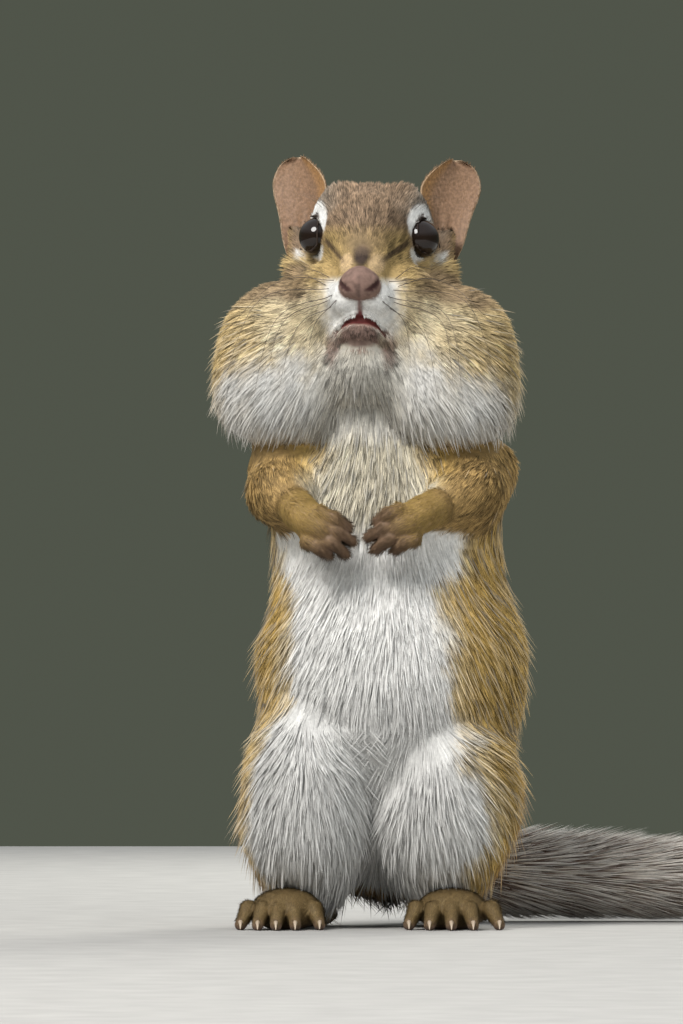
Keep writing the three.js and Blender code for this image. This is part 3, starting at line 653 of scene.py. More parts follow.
def new_material(name, roughness, specular):
    material = bpy.data.materials.new(name)
    material.use_nodes = True
    shader = material.node_tree.nodes["Principled BSDF"]
    shader.inputs["Roughness"].default_value = roughness
    shader.inputs["Specular IOR Level"].default_value = specular
    return material, material.node_tree, shader


def painted_material(name, roughness, scale, bump, variation=0.25, specular=0.3):
    """Colour from the tones painted on the mesh, its markings and painted shade, mottled by noise, with a
    fine bump.
    """
    material, tree, shader = new_material(name, roughness, specular)
    tone = tree.nodes.new("ShaderNodeAttribute")
    tone.attribute_name = "tone"
    grain = add_node(tree, "TexNoise", Scale=scale, Detail=4)
    link(tree, add_node(tree, "TexCoord").outputs["Object"], grain.inputs["Vector"])
    spread = {"To_Min": 1 - variation, "To_Max": 1 + variation}
    mottle = add_node(tree, "MapRange", From_Min=0.3, From_Max=0.7, **spread)
    link(tree, grain.outputs["Fac"], mottle.inputs["Value"])
    scaled = tree.nodes.new("ShaderNodeVectorMath")
    scaled.operation = "SCALE"
    link(tree, tone.outputs["Color"], scaled.inputs[0])
    link(tree, mottle.outputs["Result"], scaled.inputs["Scale"])
    link(tree, scaled.outputs["Vector"], shader.inputs["Base Color"])
    height = add_node(tree, "Bump", Strength=bump, Distance=0.0002)
    link(tree, grain.outputs["Fac"], height.inputs["Height"])
    link(tree, height.outputs["Normal"], shader.inputs["Normal"])
    return material


def speckled_material(name, roughness, specular, scale, dark, light, stops=(0, 1), detail=2):
    """Colour from noise, between a dark and a light one. Gives the noise and the shader too."""
    material, tree, shader = new_material(name, roughness, specular)
    grain = add_node(tree, "TexNoise", Scale=scale, Detail=detail)
    ramp = add_node(tree, "ValToRGB")
    for element, position, tint in zip(ramp.color_ramp.elements, stops, (dark, light)):
        element.position = position
        element.color = (*tint, 1)
    link(tree, grain.outputs["Fac"], ramp.inputs["Fac"])
    link(tree, ramp.outputs["Color"], shader.inputs["Base Color"])
    return material, grain, shader


# The coat: each hair is a thin pyramid with three sides

PIECE_HAIRS = 62000
UV_PATCH = 0.0015  # radius of each hair's own patch of the unwrap
ROOT_DEPTH = 0.15
LOWEST_TIP = 0.4  # above the floor
RING = [[math.cos(a), math.sin(a)] for a in (0, 2.094, 4.189)]  # thirds of a turn
rng = np.random.default_rng(7)


def split(points, quads):
    """A mesh's quads as triangles, with their areas and their middles."""
    tris = np.concatenate([quads[:, [0, 1, 2]], quads[:, [0, 2, 3]]])
    a, b, c = (points[tris[:, i]] for i in range(3))
    return tris, np.linalg.norm(np.cross(b - a, c - a), axis=1) / 2, (a + b + c) / 3


def scatter(points, quads, normals, density):
    """Random places on a mesh: density(points) is in hairs a square millimetre."""
    tris, area, middle = split(points, quads)
    count = np.floor(area * density(middle) + rng.random(len(tris))).astype(int)
    which = np.repeat(np.arange(len(tris)), count)
    u, v = rng.random(len(which)), rng.random(len(which))
    flip = u + v > 1
    u[flip], v[flip] = 1 - u[flip], 1 - v[flip]
    weights = np.stack([1 - u - v, u, v], axis=-1)[..., None]
    corners = tris[which]
    place = (points[corners] * weights).sum(axis=1)
    normal = unit((normals[corners] * weights).sum(axis=1))
    return place, normal


def lay(normal, guide, lift, jitter=0.12):
    """Directions along a guide on the surface, raised by lift radians."""
    flat = unit(guide - (guide * normal).sum(axis=1, keepdims=True) * normal)
    flat = unit(flat + rng.normal(0, jitter, flat.shape))
    flat = unit(flat - (flat * normal).sum(axis=1, keepdims=True) * normal)
    lift = np.broadcast_to(lift, len(normal))[:, None]
    return flat * np.cos(lift) + normal * np.sin(lift)


def clumped(root, direction, length, cell, pull):
    """Hairs of one small cell lean to a common tip. Gives their directions and each one's clump."""
    key = np.floor((root + noise_vector(root, cell * 1.8, 301) * cell * 0.7) / cell).astype(np.int64)
    key = (key[:, 0] * 4096 + key[:, 1]) * 4096 + key[:, 2]
    _, which = np.unique(key, return_inverse=True)
    count = np.bincount(which)

    def mean(values):
        return np.stack([np.bincount(which, values[:, i]) for i in range(3)], axis=-1) / count[:, None]

    tips = root + direction * length[:, None]
    middle = mean(tips)
    tips = mix(tips, middle[which], np.broadcast_to(pull, len(root)))
    return unit(tips - root), which


def rows(values):
    """One array for each corner of a hair, put together hair by hair."""
    return np.stack(values, axis=1).reshape(-1, 3)


def hair_mesh(name, corners, faces, shading, tones, uv, patch):
    """One piece of hairs. Each hair lies in the unwrap as a small patch about its own place."""
    faces = np.array(faces)
    triangles = (np.arange(len(uv))[:, None, None] * len(corners) + faces).reshape(-1, 3)
    obj = make_object(name, rows(corners), triangles)
    obj.data.normals_split_custom_set_from_vertices(unit(rows(shading)).tolist())
    paint(obj, rows(tones))
    corner_uv = (uv[:, None, None] + UV_PATCH * np.array(patch)[faces]).reshape(-1, 2)
    layer = obj.data.uv_layers.new(name="OFBake")
    layer.data.foreach_set("uv", np.clip(corner_uv, 0, 1).astype(np.float32).ravel())
    return obj


def hair_pieces(name, material, root, normal, direction, length, width, dark, light, uv):
    """Coat pieces, each with at most PIECE_HAIRS hairs, coloured from dark roots to light tips."""
    faces = [[0, 3, 2], [2, 3, 1], [1, 3, 0]]
    order = np.argsort(uv[:, 0] + rng.random(len(root)) * 0.02)
    for piece, start in enumerate(range(0, len(root), PIECE_HAIRS)):
        pick = order[start : start + PIECE_HAIRS]
        d, w = direction[pick], width[pick][:, None]
        across = unit(np.cross(d, normal[pick]))
        over = unit(np.cross(across, d))
        base = root[pick] - normal[pick] * ROOT_DEPTH
        tip = base + d * length[pick][:, None]
        tip[:, 2] = np.maximum(tip[:, 2], LOWEST_TIP)
        ring = [
            base + across * w * 0.5 - over * w * 0.15,
            base - across * w * 0.5 - over * w * 0.15,
            base + over * w * 0.35,
        ]
        body = normal[pick] + over * 0.25
        shading = [body + across * 0.5, body - across * 0.5, body, body]
        tones = [dark[pick]] * 3 + [light[pick]]
        obj = hair_mesh(f"{name}_{piece + 1}", ring + [tip], faces, shading, tones, uv[pick], RING + [[0, 0]])
        obj.data.materials.append(material)
        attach(obj, "root")


def inset(*shares):
    """Places in the unwrap, kept off its edges."""
    return 0.01 + 0.98 * np.stack(shares, axis=-1)


def skin_uv(p):
    """Places on an unwrap round the body, with the head on its own part."""
    q = to_head(p)
    around = np.arctan2(p[:, 0] + 1, -(p[:, 1] - 3)) / (2 * math.pi) + 0.5
    up_body = 0.01 + 0.58 * np.clip(p[:, 2] / HEAD_FROM, 0, 1)
    turn = np.arctan2(q[:, 0], -(q[:, 1] - 6)) / (2 * math.pi) + 0.5
    up_head = 0.61 + 0.38 * (np.arctan2(q[:, 2] + 12, np.hypot(q[:, 0], q[:, 1] - 6)) / math.pi + 0.5)
    body_uv = np.stack([0.01 + 0.98 * around, up_body], axis=-1)
    head_uv = np.stack([0.01 + 0.98 * turn, up_head], axis=-1)
    return np.where((p[:, 2] > HEAD_FROM)[:, None], head_uv, body_uv)


# Where the fur of each leg fans out from, and the side line between the legs
LEG_WHORLS = {"right": [-16.4, -24, 47], "left": [6.2, -24, 47]}
BETWEEN_LEGS = -4.5


def each_way(p, x, y, z):
    """A direction for each point, from numbers or arrays."""
    return np.stack(np.broadcast_arrays(x, y, z, p[:, 0])[:3], axis=-1)


def head_guide(q):
    """Back from the nose and down the cheeks, on the head's own axes."""
    way = unit(q - [0, -13, -9])
    low = fade(-16, -28, q[:, 2])
    way[:, 2] -= 0.75 * low
    way[:, 0] += np.tanh(q[:, 0] / 4) * 0.55 * low * fade(-36, -30, q[:, 2])
    return mix(way, unit(each_way(q, q[:, 0] * 0.05, 0.5, 0.8)), fade(-6, -1, q[:, 2]))


def body_guide(p):
    """Which way the fur runs: back from the nose on the head, down the body, fanning over the legs."""
    down = each_way(p, np.tanh((p[:, 0] - 1) / 18) * 0.38, 0.1, -1)
    for side, whorl in LEG_WHORLS.items():
        fan = p - np.array(whorl)
        fan[:, 1] = 0
        inside = (p[:, 0] < BETWEEN_LEGS) == (side == "right")
        share = fade(46, 40, p[:, 2]) * fade(6, -4, p[:, 1]) * inside
        down = mix(down, unit(fan), share)
    on_head_share = fade(95, 101, p[:, 2]) * fade(5, 1, head_field(p))
    way = mix(down, head_guide(to_head(p)) @ HEAD_TURN.T, on_head_share)
    for arm in ARMS.values():
        along = unit(np.array(arm["wrist"]) - np.array(arm["elbow"])) * 0.8 + [0, 0, -0.45]
        upper = unit(np.array(arm["elbow"]) - np.array(arm["shoulder"])) * 0.4 + [0, 0, -0.9]
        way = mix(way, upper, fade(2.5, 0, arm_field(arm)(p)) * 0.8)
        way = mix(way, along, fade(1.5, -0.5, lower_arm(arm)(p)))
    return way


def on_arm(p):
    """1 on the brown part of the forelegs, fading to the pale chest on their inner side."""
    near = fade(1.6, 0.2, nearest(arm_fields, p))
    middle = np.interp(p[:, 2], [75, 88, 96], [-3, -2, -2])
    spread = np.abs(p[:, 0] - middle) + noise(p, 3, 55) * 1.5
    edge = np.interp(p[:, 2], [74, 82, 90, 98], [4, 7, 12, 14])
    return near * fade(edge, edge + 6, spread)


def bare(p):
    """1 where the skin shows: nose, lips, lids and eyes."""
    q = to_head(p)
    away = np.minimum(nose_ball(q) - 0.1, nearest(mouth_gap + cleft, q) - 0.12)
    away = np.minimum(away, lids(q) - 0.05)
    away = np.minimum(away, nearest(SOCKETS, q) - 0.1)
    return fade(0.25, 0, away) * (p[:, 2] > HEAD_FROM)


def hair_length(p):
    """Short on the face and the crown, longer under the pouches and on the body, short on the arms."""
    q = to_head(p)
    on_head_length = 0.9 + 3.2 * fade(4, 30, apart(q, NOSE_CENTRE))
    on_head_length = np.where(q[:, 2] > -5, np.minimum(on_head_length, 2.3), on_head_length)
    on_head_length += 1.6 * fade(-26, -34, q[:, 2]) + 0.9 * fade(7.5, 10, q[:, 2])
    eye = np.min([apart(q, mirrored(EYE_CENTRE, s)) for s in SIDES.values()], axis=0)
    on_head_length *= 0.5 + 0.5 * fade(4.5, 9, eye)
    length = np.interp(p[:, 2], [0, 14, 40, 80, 95], [6.8, 6.4, 5.6, 5.0, 4.6])
    length = length + (on_head_length - length) * fade(97, 106, p[:, 2])
    wrist = np.min([apart(p, arm["wrist"]) for arm in ARMS.values()], axis=0)
    on_arm_length = 1.7 + 1.1 * fade(4, 16, wrist)
    return length + (on_arm_length - length) * fade(2, 0, nearest(arm_fields, p))


def build_skin():
    xs = grid_lines(-38, [-16, 0.95], [9, 0.5], [34, 0.95])
    ys = grid_lines(-34, [-8, 0.55], [36, 1.0])
    zs = grid_lines(1, [108, 1.0], [146, 0.5], [154, 0.8])
    points, quads = surface_net(skin_field, xs, ys, zs)
    normals = vertex_normals(points, quads)
    skin = make_object("skin", points, quads)
    q = to_head(points)
    tone = coat_colour(points) * 0.8
    tone = mix(tone, TAWNY * 0.7, on_arm(points))
    near_head = points[:, 2] > MARKS_FROM
    # the skin's own colours, with painted shade in the nose groove, mouth folds and nostrils
    marks_and_shade = (
        (PINK, 0.5, 0.15, nose_ball(q)),
        # nose pink darkened in the groove down the nose: painted shade
        (PINK * 0.45, 0.3, 0.0, nearest(nose_groove, q)),
        (LIP, 0.4, 0.05, nearest(lower_lip, q)),
        # dark brown in the folds from the mouth's corners: painted shadow
        (colour(0.09, 0.05, 0.04), 0.7, 0.1, nearest(mouth_fold, q)),
        (MOUTH_RED, 0.5, 0.1, nearest(mouth_gap, q)),
        # near black in the nostrils: painted shade in their hollows
        (colour(0.05, 0.02, 0.018), 0.35, 0.05, nearest(nostrils, q)),
        (colour(0.12, 0.03, 0.03), 0.35, 0.05, nearest(cleft, q)),
        (DARK * 0.6, 0.3, 0.1, lids(q)),
    )
    for mark, fades, full, away in marks_and_shade:
        tone = mix(tone, mark, fade(fades, full, away) * near_head)
    paint(skin, tone)
    skin.data.materials.append(painted_material("skin", 0.75, 900, 0.5))
    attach(skin, "root")
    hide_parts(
        "head", "nose", "neck", "chest", "belly", "rump", "cheek_pouch_left", "cheek_pouch_right",
        "thigh_left", "thigh_right", "shank_left", "shank_right", "upper_arm_left", "upper_arm_right",
        "forearm_left", "forearm_right",
    )
    return points, quads, normals


HAIR_COUNT = 385000
GUARD_SHARE = 0.035


def tuft_colours(tone, clump, guard, roots):
    """Tones of the roots and tips: brown hairs banded dark and pale, white ones nearly even, by clumps."""
    n = len(tone)
    whiteness = fade(0.36, 0.60, tone[:, 2])
    clump_tone = rng.normal(0, 1, clump.max() + 1)[clump]
    speckle = rng.random(n) + 0.10 * clump_tone
    shade = 1 + rng.normal(0, 0.09, n) + clump_tone * (0.11 - 0.03 * whiteness)
    light = tone * np.clip(shade, 0.5, 1.5)[:, None]
    light = mix(light, light * 1.45, (speckle > 0.80) * (1 - whiteness))
    dark_share = 0.22 + 0.14 * fade(-6, 0, to_head(roots)[:, 2]) * (roots[:, 2] > 130)
    light = mix(light, light * 0.33, (speckle < dark_share) * (1 - whiteness) * 0.9)
    light = mix(light, WHITE * 0.7, guard * 0.25)
    return mix(light * 0.55, light * 0.86, whiteness), light


def build_coat(points, quads, normals):
    """The fur of the head, body and limbs: short and fine on the face, in longer clumps below."""

    def density(p):
        fine = fade(30, 12, apart(to_head(p), NOSE_CENTRE))
        return (1 - bare(p)) * (1 + 0.6 * fade(104, 112, p[:, 2]) + 1.4 * fine)

    _, area, middle = split(points, quads)
    total = (area * density(middle)).sum()
    root, normal = scatter(points, quads, normals, lambda p: density(p) * HAIR_COUNT / total)
    n = len(root)
    tone = mix(coat_colour(root), TAWNY, on_arm(root))
    length = hair_length(root) * rng.uniform(0.7, 1.15, n)
    guard = rng.random(n) < GUARD_SHARE * fade(2.5, 4, length) * fade(128, 112, root[:, 2])
    length *= np.where(guard, 1.5, 1)
    lift = 0.17 - 0.07 * fade(2, 0, nearest(arm_fields, root)) + 0.10 * rng.random(n)
    lift = lift + 0.07 * noise(root, 5, 41) + np.where(guard, 0.22 * rng.random(n), 0)
    lift += 0.16 * fade(7.5, 10, to_head(root)[:, 2])
    direction = lay(normal, body_guide(root) + noise_vector(root, 5, 43) * 0.16, lift, 0.09)
    pull = 0.18 + 0.34 * fade(1.2, 3.5, length)
    direction, clump = clumped(root, direction, length, 1.25, pull)
    dark, light = tuft_colours(tone, clump, guard, root)
    hair = painted_material("fur", 0.7, 1500, 0.0, 0.10, 0.25)
    width = 0.15 + 0.045 * length
    hair_pieces("coat", hair, root, normal, direction, length, width, dark, light, skin_uv(root))


# Tubes with round sections, for claws, whiskers and the tail's core


def tube(path, radii, sides=16):
    path = np.asarray(path, float)
    radii = np.asarray(radii, float)
    tangent = unit(np.gradient(path, axis=0))
    hint = np.array([0.31, 0.53, 0.79])
    one = unit(hint - (tangent @ hint)[:, None] * tangent)
    two = np.cross(tangent, one)
    angle = np.linspace(0, 2 * math.pi, sides, endpoint=False)
    ring = np.cos(angle)[None, :, None] * one[:, None] + np.sin(angle)[None, :, None] * two[:, None]
    points = (path[:, None] + ring * radii[:, None, None]).reshape(-1, 3)
    i, s = np.meshgrid(np.arange(len(path) - 1), np.arange(sides), indexing="ij")
    a, b = i * sides + s, i * sides + (s + 1) % sides
    quads = np.stack([a, b, b + sides, a + sides], axis=-1).reshape(-1, 4)
    return points, quads


def curve_through(points, count):
    """A smooth path through a few points."""
    points = np.asarray(points, float)
    padded = np.concatenate([[2 * points[0] - points[1]], points, [2 * points[-1] - points[-2]]])
    spans = len(points) - 1
    path = []
    for t in np.linspace(0, spans, count):
        i = min(int(t), spans - 1)
        f = t - i
        p0, p1, p2, p3 = padded[i : i + 4]
        path.append(
            0.5 * (2 * p1 + (p2 - p0) * f + (2 * p0 - 5 * p1 + 4 * p2 - p3) * f * f
                   + (3 * p1 - p0 - 3 * p2 + p3) * f**3)
        )
    return np.array(path)


def joined(parts):
    points, quads, offset = [], [], 0
    for p, q in parts:
        points.append(p)
        quads.append(q + offset)
        offset += len(p)
    return np.concatenate(points), np.concatenate(quads)


def build_claws(name, claws):
    parts = []
    for start, middle, end, radius in claws:
        path = curve_through([start, middle, end], 9)
        parts.append(tube(path, radius * (1 - 0.85 * np.linspace(0, 1, 9) ** 1.3), 10))
    points, quads = joined(parts)
    obj = make_object(name, points, quads)
    material, _, _ = speckled_material(name, 0.35, 0.5, 700, (0.20, 0.13, 0.08), (0.66, 0.55, 0.42))
    obj.data.materials.append(material)
    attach(obj, "root")


SMALL_HAIR_WIDTH = 0.17


def small_fur(name, points, quads, normals, guide, per_mm2, length, tone_of, keep):
    """Short fur on a paw, foot or ear, all combed along one direction."""
    root, normal = scatter(points, quads, normals, lambda p: per_mm2 * keep(p))
    n = len(root)
    size = length * rng.uniform(0.7, 1.25, n)
    direction = lay(normal, np.broadcast_to(guide, root.shape), 0.24 + 0.1 * rng.random(n), 0.14)
    tone = tone_of(root) * (1 + rng.normal(0, 0.14, n))[:, None]
    centre = points.mean(axis=0)
    around = np.arctan2(root[:, 2] - centre[2], root[:, 0] - centre[0]) / (2 * math.pi) + 0.5
    along = (root[:, 1] - points[:, 1].min()) / (points[:, 1].max() - points[:, 1].min())
    hair = bpy.data.materials["fur"]
    width = np.full(n, SMALL_HAIR_WIDTH)
    uv = inset(around, along)
    hair_pieces(name, hair, root, normal, direction, size, width, tone * 0.6, tone, uv)


def to_nearest(p, ends):
    return np.min(apart(p[:, None], ends), axis=1)


def finger_paths(arm):
    wrist = np.array(arm["wrist"], float)
    paths = []
    for (kx, kz), (tx, tz) in zip(arm["knuckles"], arm["tips"]):
        tip = np.array([tx, TIP_Y, tz], float)
        knuckle = np.array([kx, KNUCKLE_Y + 0.5, kz])
        root = knuckle + (wrist - knuckle) * 0.35
        bend = (knuckle + tip) / 2 + [0, -1.1, 0.3]
        paths.append([root, knuckle, bend, tip])
    return paths


def hand_field(arm, paths, palm_end):
    wrist = np.array(arm["wrist"], float)
    along = unit(wrist - np.array(arm["elbow"]))
    mid_palm = wrist + (palm_end - wrist) * 0.6
    palm = smooth_union(
        1.5,
        round_cone(wrist - along * 4.5, wrist, 3.6, 3.1),
        round_cone(wrist, mid_palm, 3.1, 3.2),
        round_cone(mid_palm, palm_end, 3.2, 2.5),
    )
    radii = [FINGER_RADIUS * r for r in (1.1, 1.12, 1.08, 0.85)]
    return smooth_union(0.5, palm, *[smooth_union(0.5, *chain(path, radii)) for path in paths])


def build_forepaw(side):
    arm = ARMS[side]
    wrist = np.array(arm["wrist"], float)
    middle = np.array(arm["knuckles"])[1:3].mean(axis=0)
    palm_end = np.array([middle[0], KNUCKLE_Y + 1, middle[1]])
    paths = finger_paths(arm)
    joints = [p for path in paths for p in path]
    low_corner = np.min(joints + [wrist - 5], axis=0) - 2
    high_corner = np.max(joints + [wrist + 5], axis=0) + 2
    lines = [grid_lines(low_corner[i], [high_corner[i], 0.32]) for i in range(3)]
    points, quads = surface_net(hand_field(arm, paths, palm_end), *lines)
    normals = vertex_normals(points, quads)
    obj = make_object(f"forepaw_skin_{side}", points, quads)
    crease_shade = nearest([round_cone(p[1], p[1] + 0.01, 0.1, 0.1) for p in paths], points)
    tips = np.array([p[3] for p in paths])
    # painted shade in the creases round the knuckles
    tone = mix(PAW, PAW * 0.55, fade(1.6, 1.0, crease_shade) * 0.3)
    tone = mix(tone, TAWNY * 0.8, fade(9, 4, apart(points, wrist)))
    tone = mix(tone, PINK * 0.8, fade(2.6, 0.8, to_nearest(points, tips)) * 0.5)
    paint(obj, tone)
    obj.data.materials.append(painted_material(f"paw_skin_{side}", 0.6, 1400, 0.6))
    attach(obj, "root")
    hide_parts(f"forepaw_{side}")
    claws = [(p[3] + (p[2] - p[3]) * 0.1, p[3] + [0, 0.1, -0.7], p[3] + [0, 1.2, -1.5], 0.42) for p in paths]
    build_claws(f"finger_claws_{side}", claws)
    small_fur(
        f"forepaw_coat_{side}", points, quads, normals, palm_end - wrist, 16, 1.6,
        lambda p: mix(PAW * 1.3, OCHRE * 0.8, fade(10.5, 4, apart(p, wrist))),
        lambda p: fade(0.2, 1.2, to_nearest(p, tips)),
    )


def toe_paths(foot):
    front = np.array(foot["ball"], float)
    paths = []
    for x, reach in zip(foot["toes"], TOE_REACH):
        root = np.array([front[0] + (x - front[0]) * 0.55, front[1] + 1.5, 3.4])
        tip = np.array([x, reach, 1.25])
        arch = root + (tip - root) * 0.62
        arch[2] = 4.3
        paths.append([root, arch, tip])
    return paths


def foot_field(heel, ball, paths):
    """A flat sole with toes, cut level just above the floor."""
    flat = np.array([1, 1, 1 / 0.62])
    middle = heel + (ball - heel) * 0.45
    sole = chain([heel * flat, middle * flat, ball * flat], [4.4, 4.7, 6.9])
    toes = [smooth_union(0.3, *chain(path, [1.65, 1.7, 1.15])) for path in paths]
    shape = smooth_union(0.5, lambda p: nearest(sole, p * flat) * 0.7, *toes)
    return lambda p: np.maximum(shape(p), 0.3 - p[..., 2])


def build_hindfoot(side):
    foot = FEET[side]
    heel, ball = np.array(foot["heel"], float), np.array(foot["ball"], float)
    paths = toe_paths(foot)
    tips = np.array([p[2] for p in paths])
    xs = grid_lines(min(heel[0], *foot["toes"]) - 7, [max(heel[0], *foot["toes"]) + 7, 0.42])
    lines = (xs, grid_lines(-30, [20, 0.42]), grid_lines(-0.4, [8, 0.36]))
    points, quads = surface_net(foot_field(heel, ball, paths), *lines)
    normals = vertex_normals(points, quads)
    obj = make_object(f"hindfoot_skin_{side}", points, quads)
    # tawny at under a third of its strength: the foot's own colour darkened by painted shade, pinker at the
    # toe tips
    tone = mix(TAWNY * 0.3, PINK * 0.85, fade(1.9, 0.6, to_nearest(points, tips)) * 0.6)
    tone = mix(tone, PINK * 0.5, fade(1.6, 0.5, points[:, 2]) * 0.8)
    paint(obj, tone)
    obj.data.materials.append(painted_material(f"foot_skin_{side}", 0.65, 1200, 0.6))
    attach(obj, "root")
    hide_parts(f"hindfoot_{side}")
    claws = [(p[2] + [0, 0.3, 0.55], p[2] + [0, -1.7, 0.45], p[2] + [0, -2.8, -0.75], 0.55) for p in paths]
    build_claws(f"toe_claws_{side}", claws)
    small_fur(
        f"hindfoot_coat_{side}", points, quads, normals, [0.0, -1, -0.25], 13, 1.3,
        # tawny and buff at half strength: the feet's own fur colour darkened by painted shade
        lambda p: mix(TAWNY * 0.5, BUFF * 0.5, 0.4 + 0.4 * noise(p, 1.2, 51)),
        lambda p: fade(1.2, 2.4, p[:, 2]),
    )


# Tail

TAIL_PATH = curve_through(
    [[7, 26, 17], [12, 34, 12], [26, 39.5, 10.3], [46, 41, 9.4], [66, 38, 8.9], [87, 31, 8.4]], 120
)
TAIL_CORE_RADIUS = 3.0
TAIL_HAIRS = 24000
TAIL_HAIR_WIDTH = 0.32
TAIL_PIECE_HAIRS = 21000
TAIL_LOWEST = 0.6


def build_tail():
    lengths = np.concatenate([[0], np.cumsum(np.linalg.norm(np.diff(TAIL_PATH, axis=0), axis=1))])
    share = lengths / lengths[-1]
    radii = TAIL_CORE_RADIUS * (1 - 0.72 * share**2.2)
    radii[-3:] *= [0.8, 0.5, 0.1]
    points, quads = tube(TAIL_PATH, radii, 20)
    obj = make_object("tail_skin", points, quads)
    paint(obj, np.broadcast_to(GREY * 0.6, points.shape))
    obj.data.materials.append(painted_material("tail_skin", 0.8, 900, 0.5))
    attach(obj, "root")
    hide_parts("tail_base", "tail_middle", "tail_tip")
    build_tail_hairs(share, radii)


def build_tail_hairs(share, radii):
    """The tail's bush: hairs that leave the core all round it and bend towards its end."""
    n = TAIL_HAIRS
    t = rng.random(n) ** 0.93

    def at_hairs(values):
        return np.stack([np.interp(t, share, values[:, i]) for i in range(3)], axis=-1)

    along = unit(at_hairs(unit(np.gradient(TAIL_PATH, axis=0))))
    side_way = unit(np.cross(along, [0, 0, 1.0]))
    up_way = np.cross(side_way, along)
    turn = rng.random(n) * 2 * math.pi
    out = side_way * np.cos(turn)[:, None] + up_way * np.sin(turn)[:, None]
    core = np.interp(t, share, radii)
    root = at_hairs(TAIL_PATH) + out * core[:, None] * 0.9
    bush = (3.4 + 6.3 * np.minimum(1, t / 0.22) ** 0.7 * (1 - 0.62 * t**3)) * rng.uniform(0.72, 1.1, n)
    reach = np.interp(t, [0, 0.1, 0.8, 1], [6, 12, 14, 15]) * rng.uniform(0.8, 1.1, n)
    clump = noise_vector(np.stack([t * 90, turn * 4, 0 * t], axis=-1), 2.4, 61)
    rise = np.maximum(bush - core, 1.5)
    tip = root + along * reach[:, None] + out * rise[:, None] + clump * 1.1
    middle = root + along * (reach * 0.42)[:, None] + out * (rise * 0.66)[:, None] + clump * 0.4
    for ends in (tip, middle):
        ends[:, 2] = np.maximum(ends[:, 2], TAIL_LOWEST)
    speckle = rng.random(n)
    tones = [
        np.broadcast_to(mix(RUFOUS * 1.2, GREY, 0.6), root.shape),
        mix(DARK * 2.2, GREY * 1.9, fade(0.45, 0.55, speckle) * 0.85),
        mix(colour(0.74, 0.71, 0.66), DARK * 3, (speckle < 0.3) * 0.85),
    ]
    tones[2] = tones[2] * (1 + rng.normal(0, 0.15, n))[:, None]
    curved_hairs("tail_coat", [root, middle, tip], out, tones, inset(t, turn / (2 * math.pi)))


def curved_hairs(name, joints, normal, tones, uv):
    """Longer hairs, three-sided and bent once at their middle joint, in coat pieces."""
    faces = [[0, 5, 2], [0, 3, 5], [2, 4, 1], [2, 5, 4], [1, 3, 0], [1, 4, 3]]
    faces += [[3, 6, 5], [5, 6, 4], [4, 6, 3]]
    patch = RING + [[0.5 * a, 0.5 * b] for a, b in RING] + [[0, 0]]
    for piece, start in enumerate(range(0, len(uv), TAIL_PIECE_HAIRS)):
        pick = slice(start, start + TAIL_PIECE_HAIRS)
        root, middle, tip = (joint[pick] for joint in joints)
        corners, shading = [], []
        for c, towards, w in ((root, middle, TAIL_HAIR_WIDTH), (middle, tip, TAIL_HAIR_WIDTH * 0.8)):
            d = unit(towards - c)
            across = unit(np.cross(d, normal[pick]))
            over = np.cross(across, d)
            corners += [c + across * w * 0.5, c - across * w * 0.5, c + over * w * 0.5]
            body = normal[pick] + over * 0.25
            shading += [body + across * 0.5, body - across * 0.5, body]
        painted = [tone[pick] for tone in tones for _ in range(3)][:7]
        piece_name = f"{name}_{piece + 1}"
        obj = hair_mesh(piece_name, corners + [tip], faces, shading + [body], painted, uv[pick], patch)
        obj.data.materials.append(bpy.data.materials["fur"])
        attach(obj, "root")


# Eyes, ears and whiskers


def ball_mesh(rows, columns):
    """A sphere of radius 1 round Z, with small holes at its poles."""
    theta = np.linspace(0.001, math.pi - 0.001, rows)
    phi = np.linspace(0, 2 * math.pi, columns, endpoint=False)
    t, f = np.meshgrid(theta, phi, indexing="ij")
    points = np.stack([np.sin(t) * np.cos(f), np.sin(t) * np.sin(f), np.cos(t)], axis=-1).reshape(-1, 3)
    i, s = np.meshgrid(np.arange(rows - 1), np.arange(columns), indexing="ij")
    a, b = i * columns + s, i * columns + (s + 1) % columns
    return points, np.stack([a, a + columns, b + columns, b], axis=-1).reshape(-1, 4)


def build_eye(side_name, side):
    ball, quads = ball_mesh(40, 64)
    axis = Vector(HEAD_TURN @ mirrored(EYE_FACING, side))
    turn = np.array(axis.to_track_quat("Z", "Y").to_matrix())
    points = on_head(*mirrored(EYE_CENTRE, side)) + (ball * (EYE_RADIUS - 0.02)) @ turn.T
    obj = make_object(f"eyeball_{side_name}", points, quads)
    brown = (0.022, 0.012, 0.008)
    material, _, shader = speckled_material(f"eye_{side_name}", 0.07, 0.35, 500, (0.004, 0.003, 0.003), brown)
    shader.inputs["Coat Weight"].default_value = 0.2
    shader.inputs["Coat Roughness"].default_value = 0.03
    obj.data.materials.append(material)
    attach(obj, "root")
    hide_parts(f"eye_{side_name}")


EAR_FOOT = np.array([15.2, 6.5, -6.4])
EAR_AXIS = np.array([0.07, 0.2, 1])
EAR_FACING = np.array([0.5, -0.86, 0.1])
EAR_HEIGHT = 24
EAR_CUP = 3

# The ear's two edges: how far from its axis at each share of its height
EAR_OUTER = [[0.5, 0], [3.0, 0.22], [4.5, 0.5], [6.0, 0.72], [5.9, 0.84], [4.2, 0.95], [0.9, 1]]
EAR_INNER = [[0.8, 0], [4.0, 0.25], [5.8, 0.5], [7.0, 0.66], [5.6, 0.8], [2.4, 0.94], [0.3, 1]]


def ear_edge(points, t):
    edge = curve_through(points, 60)
    return np.interp(t, edge[:, 1], edge[:, 0])


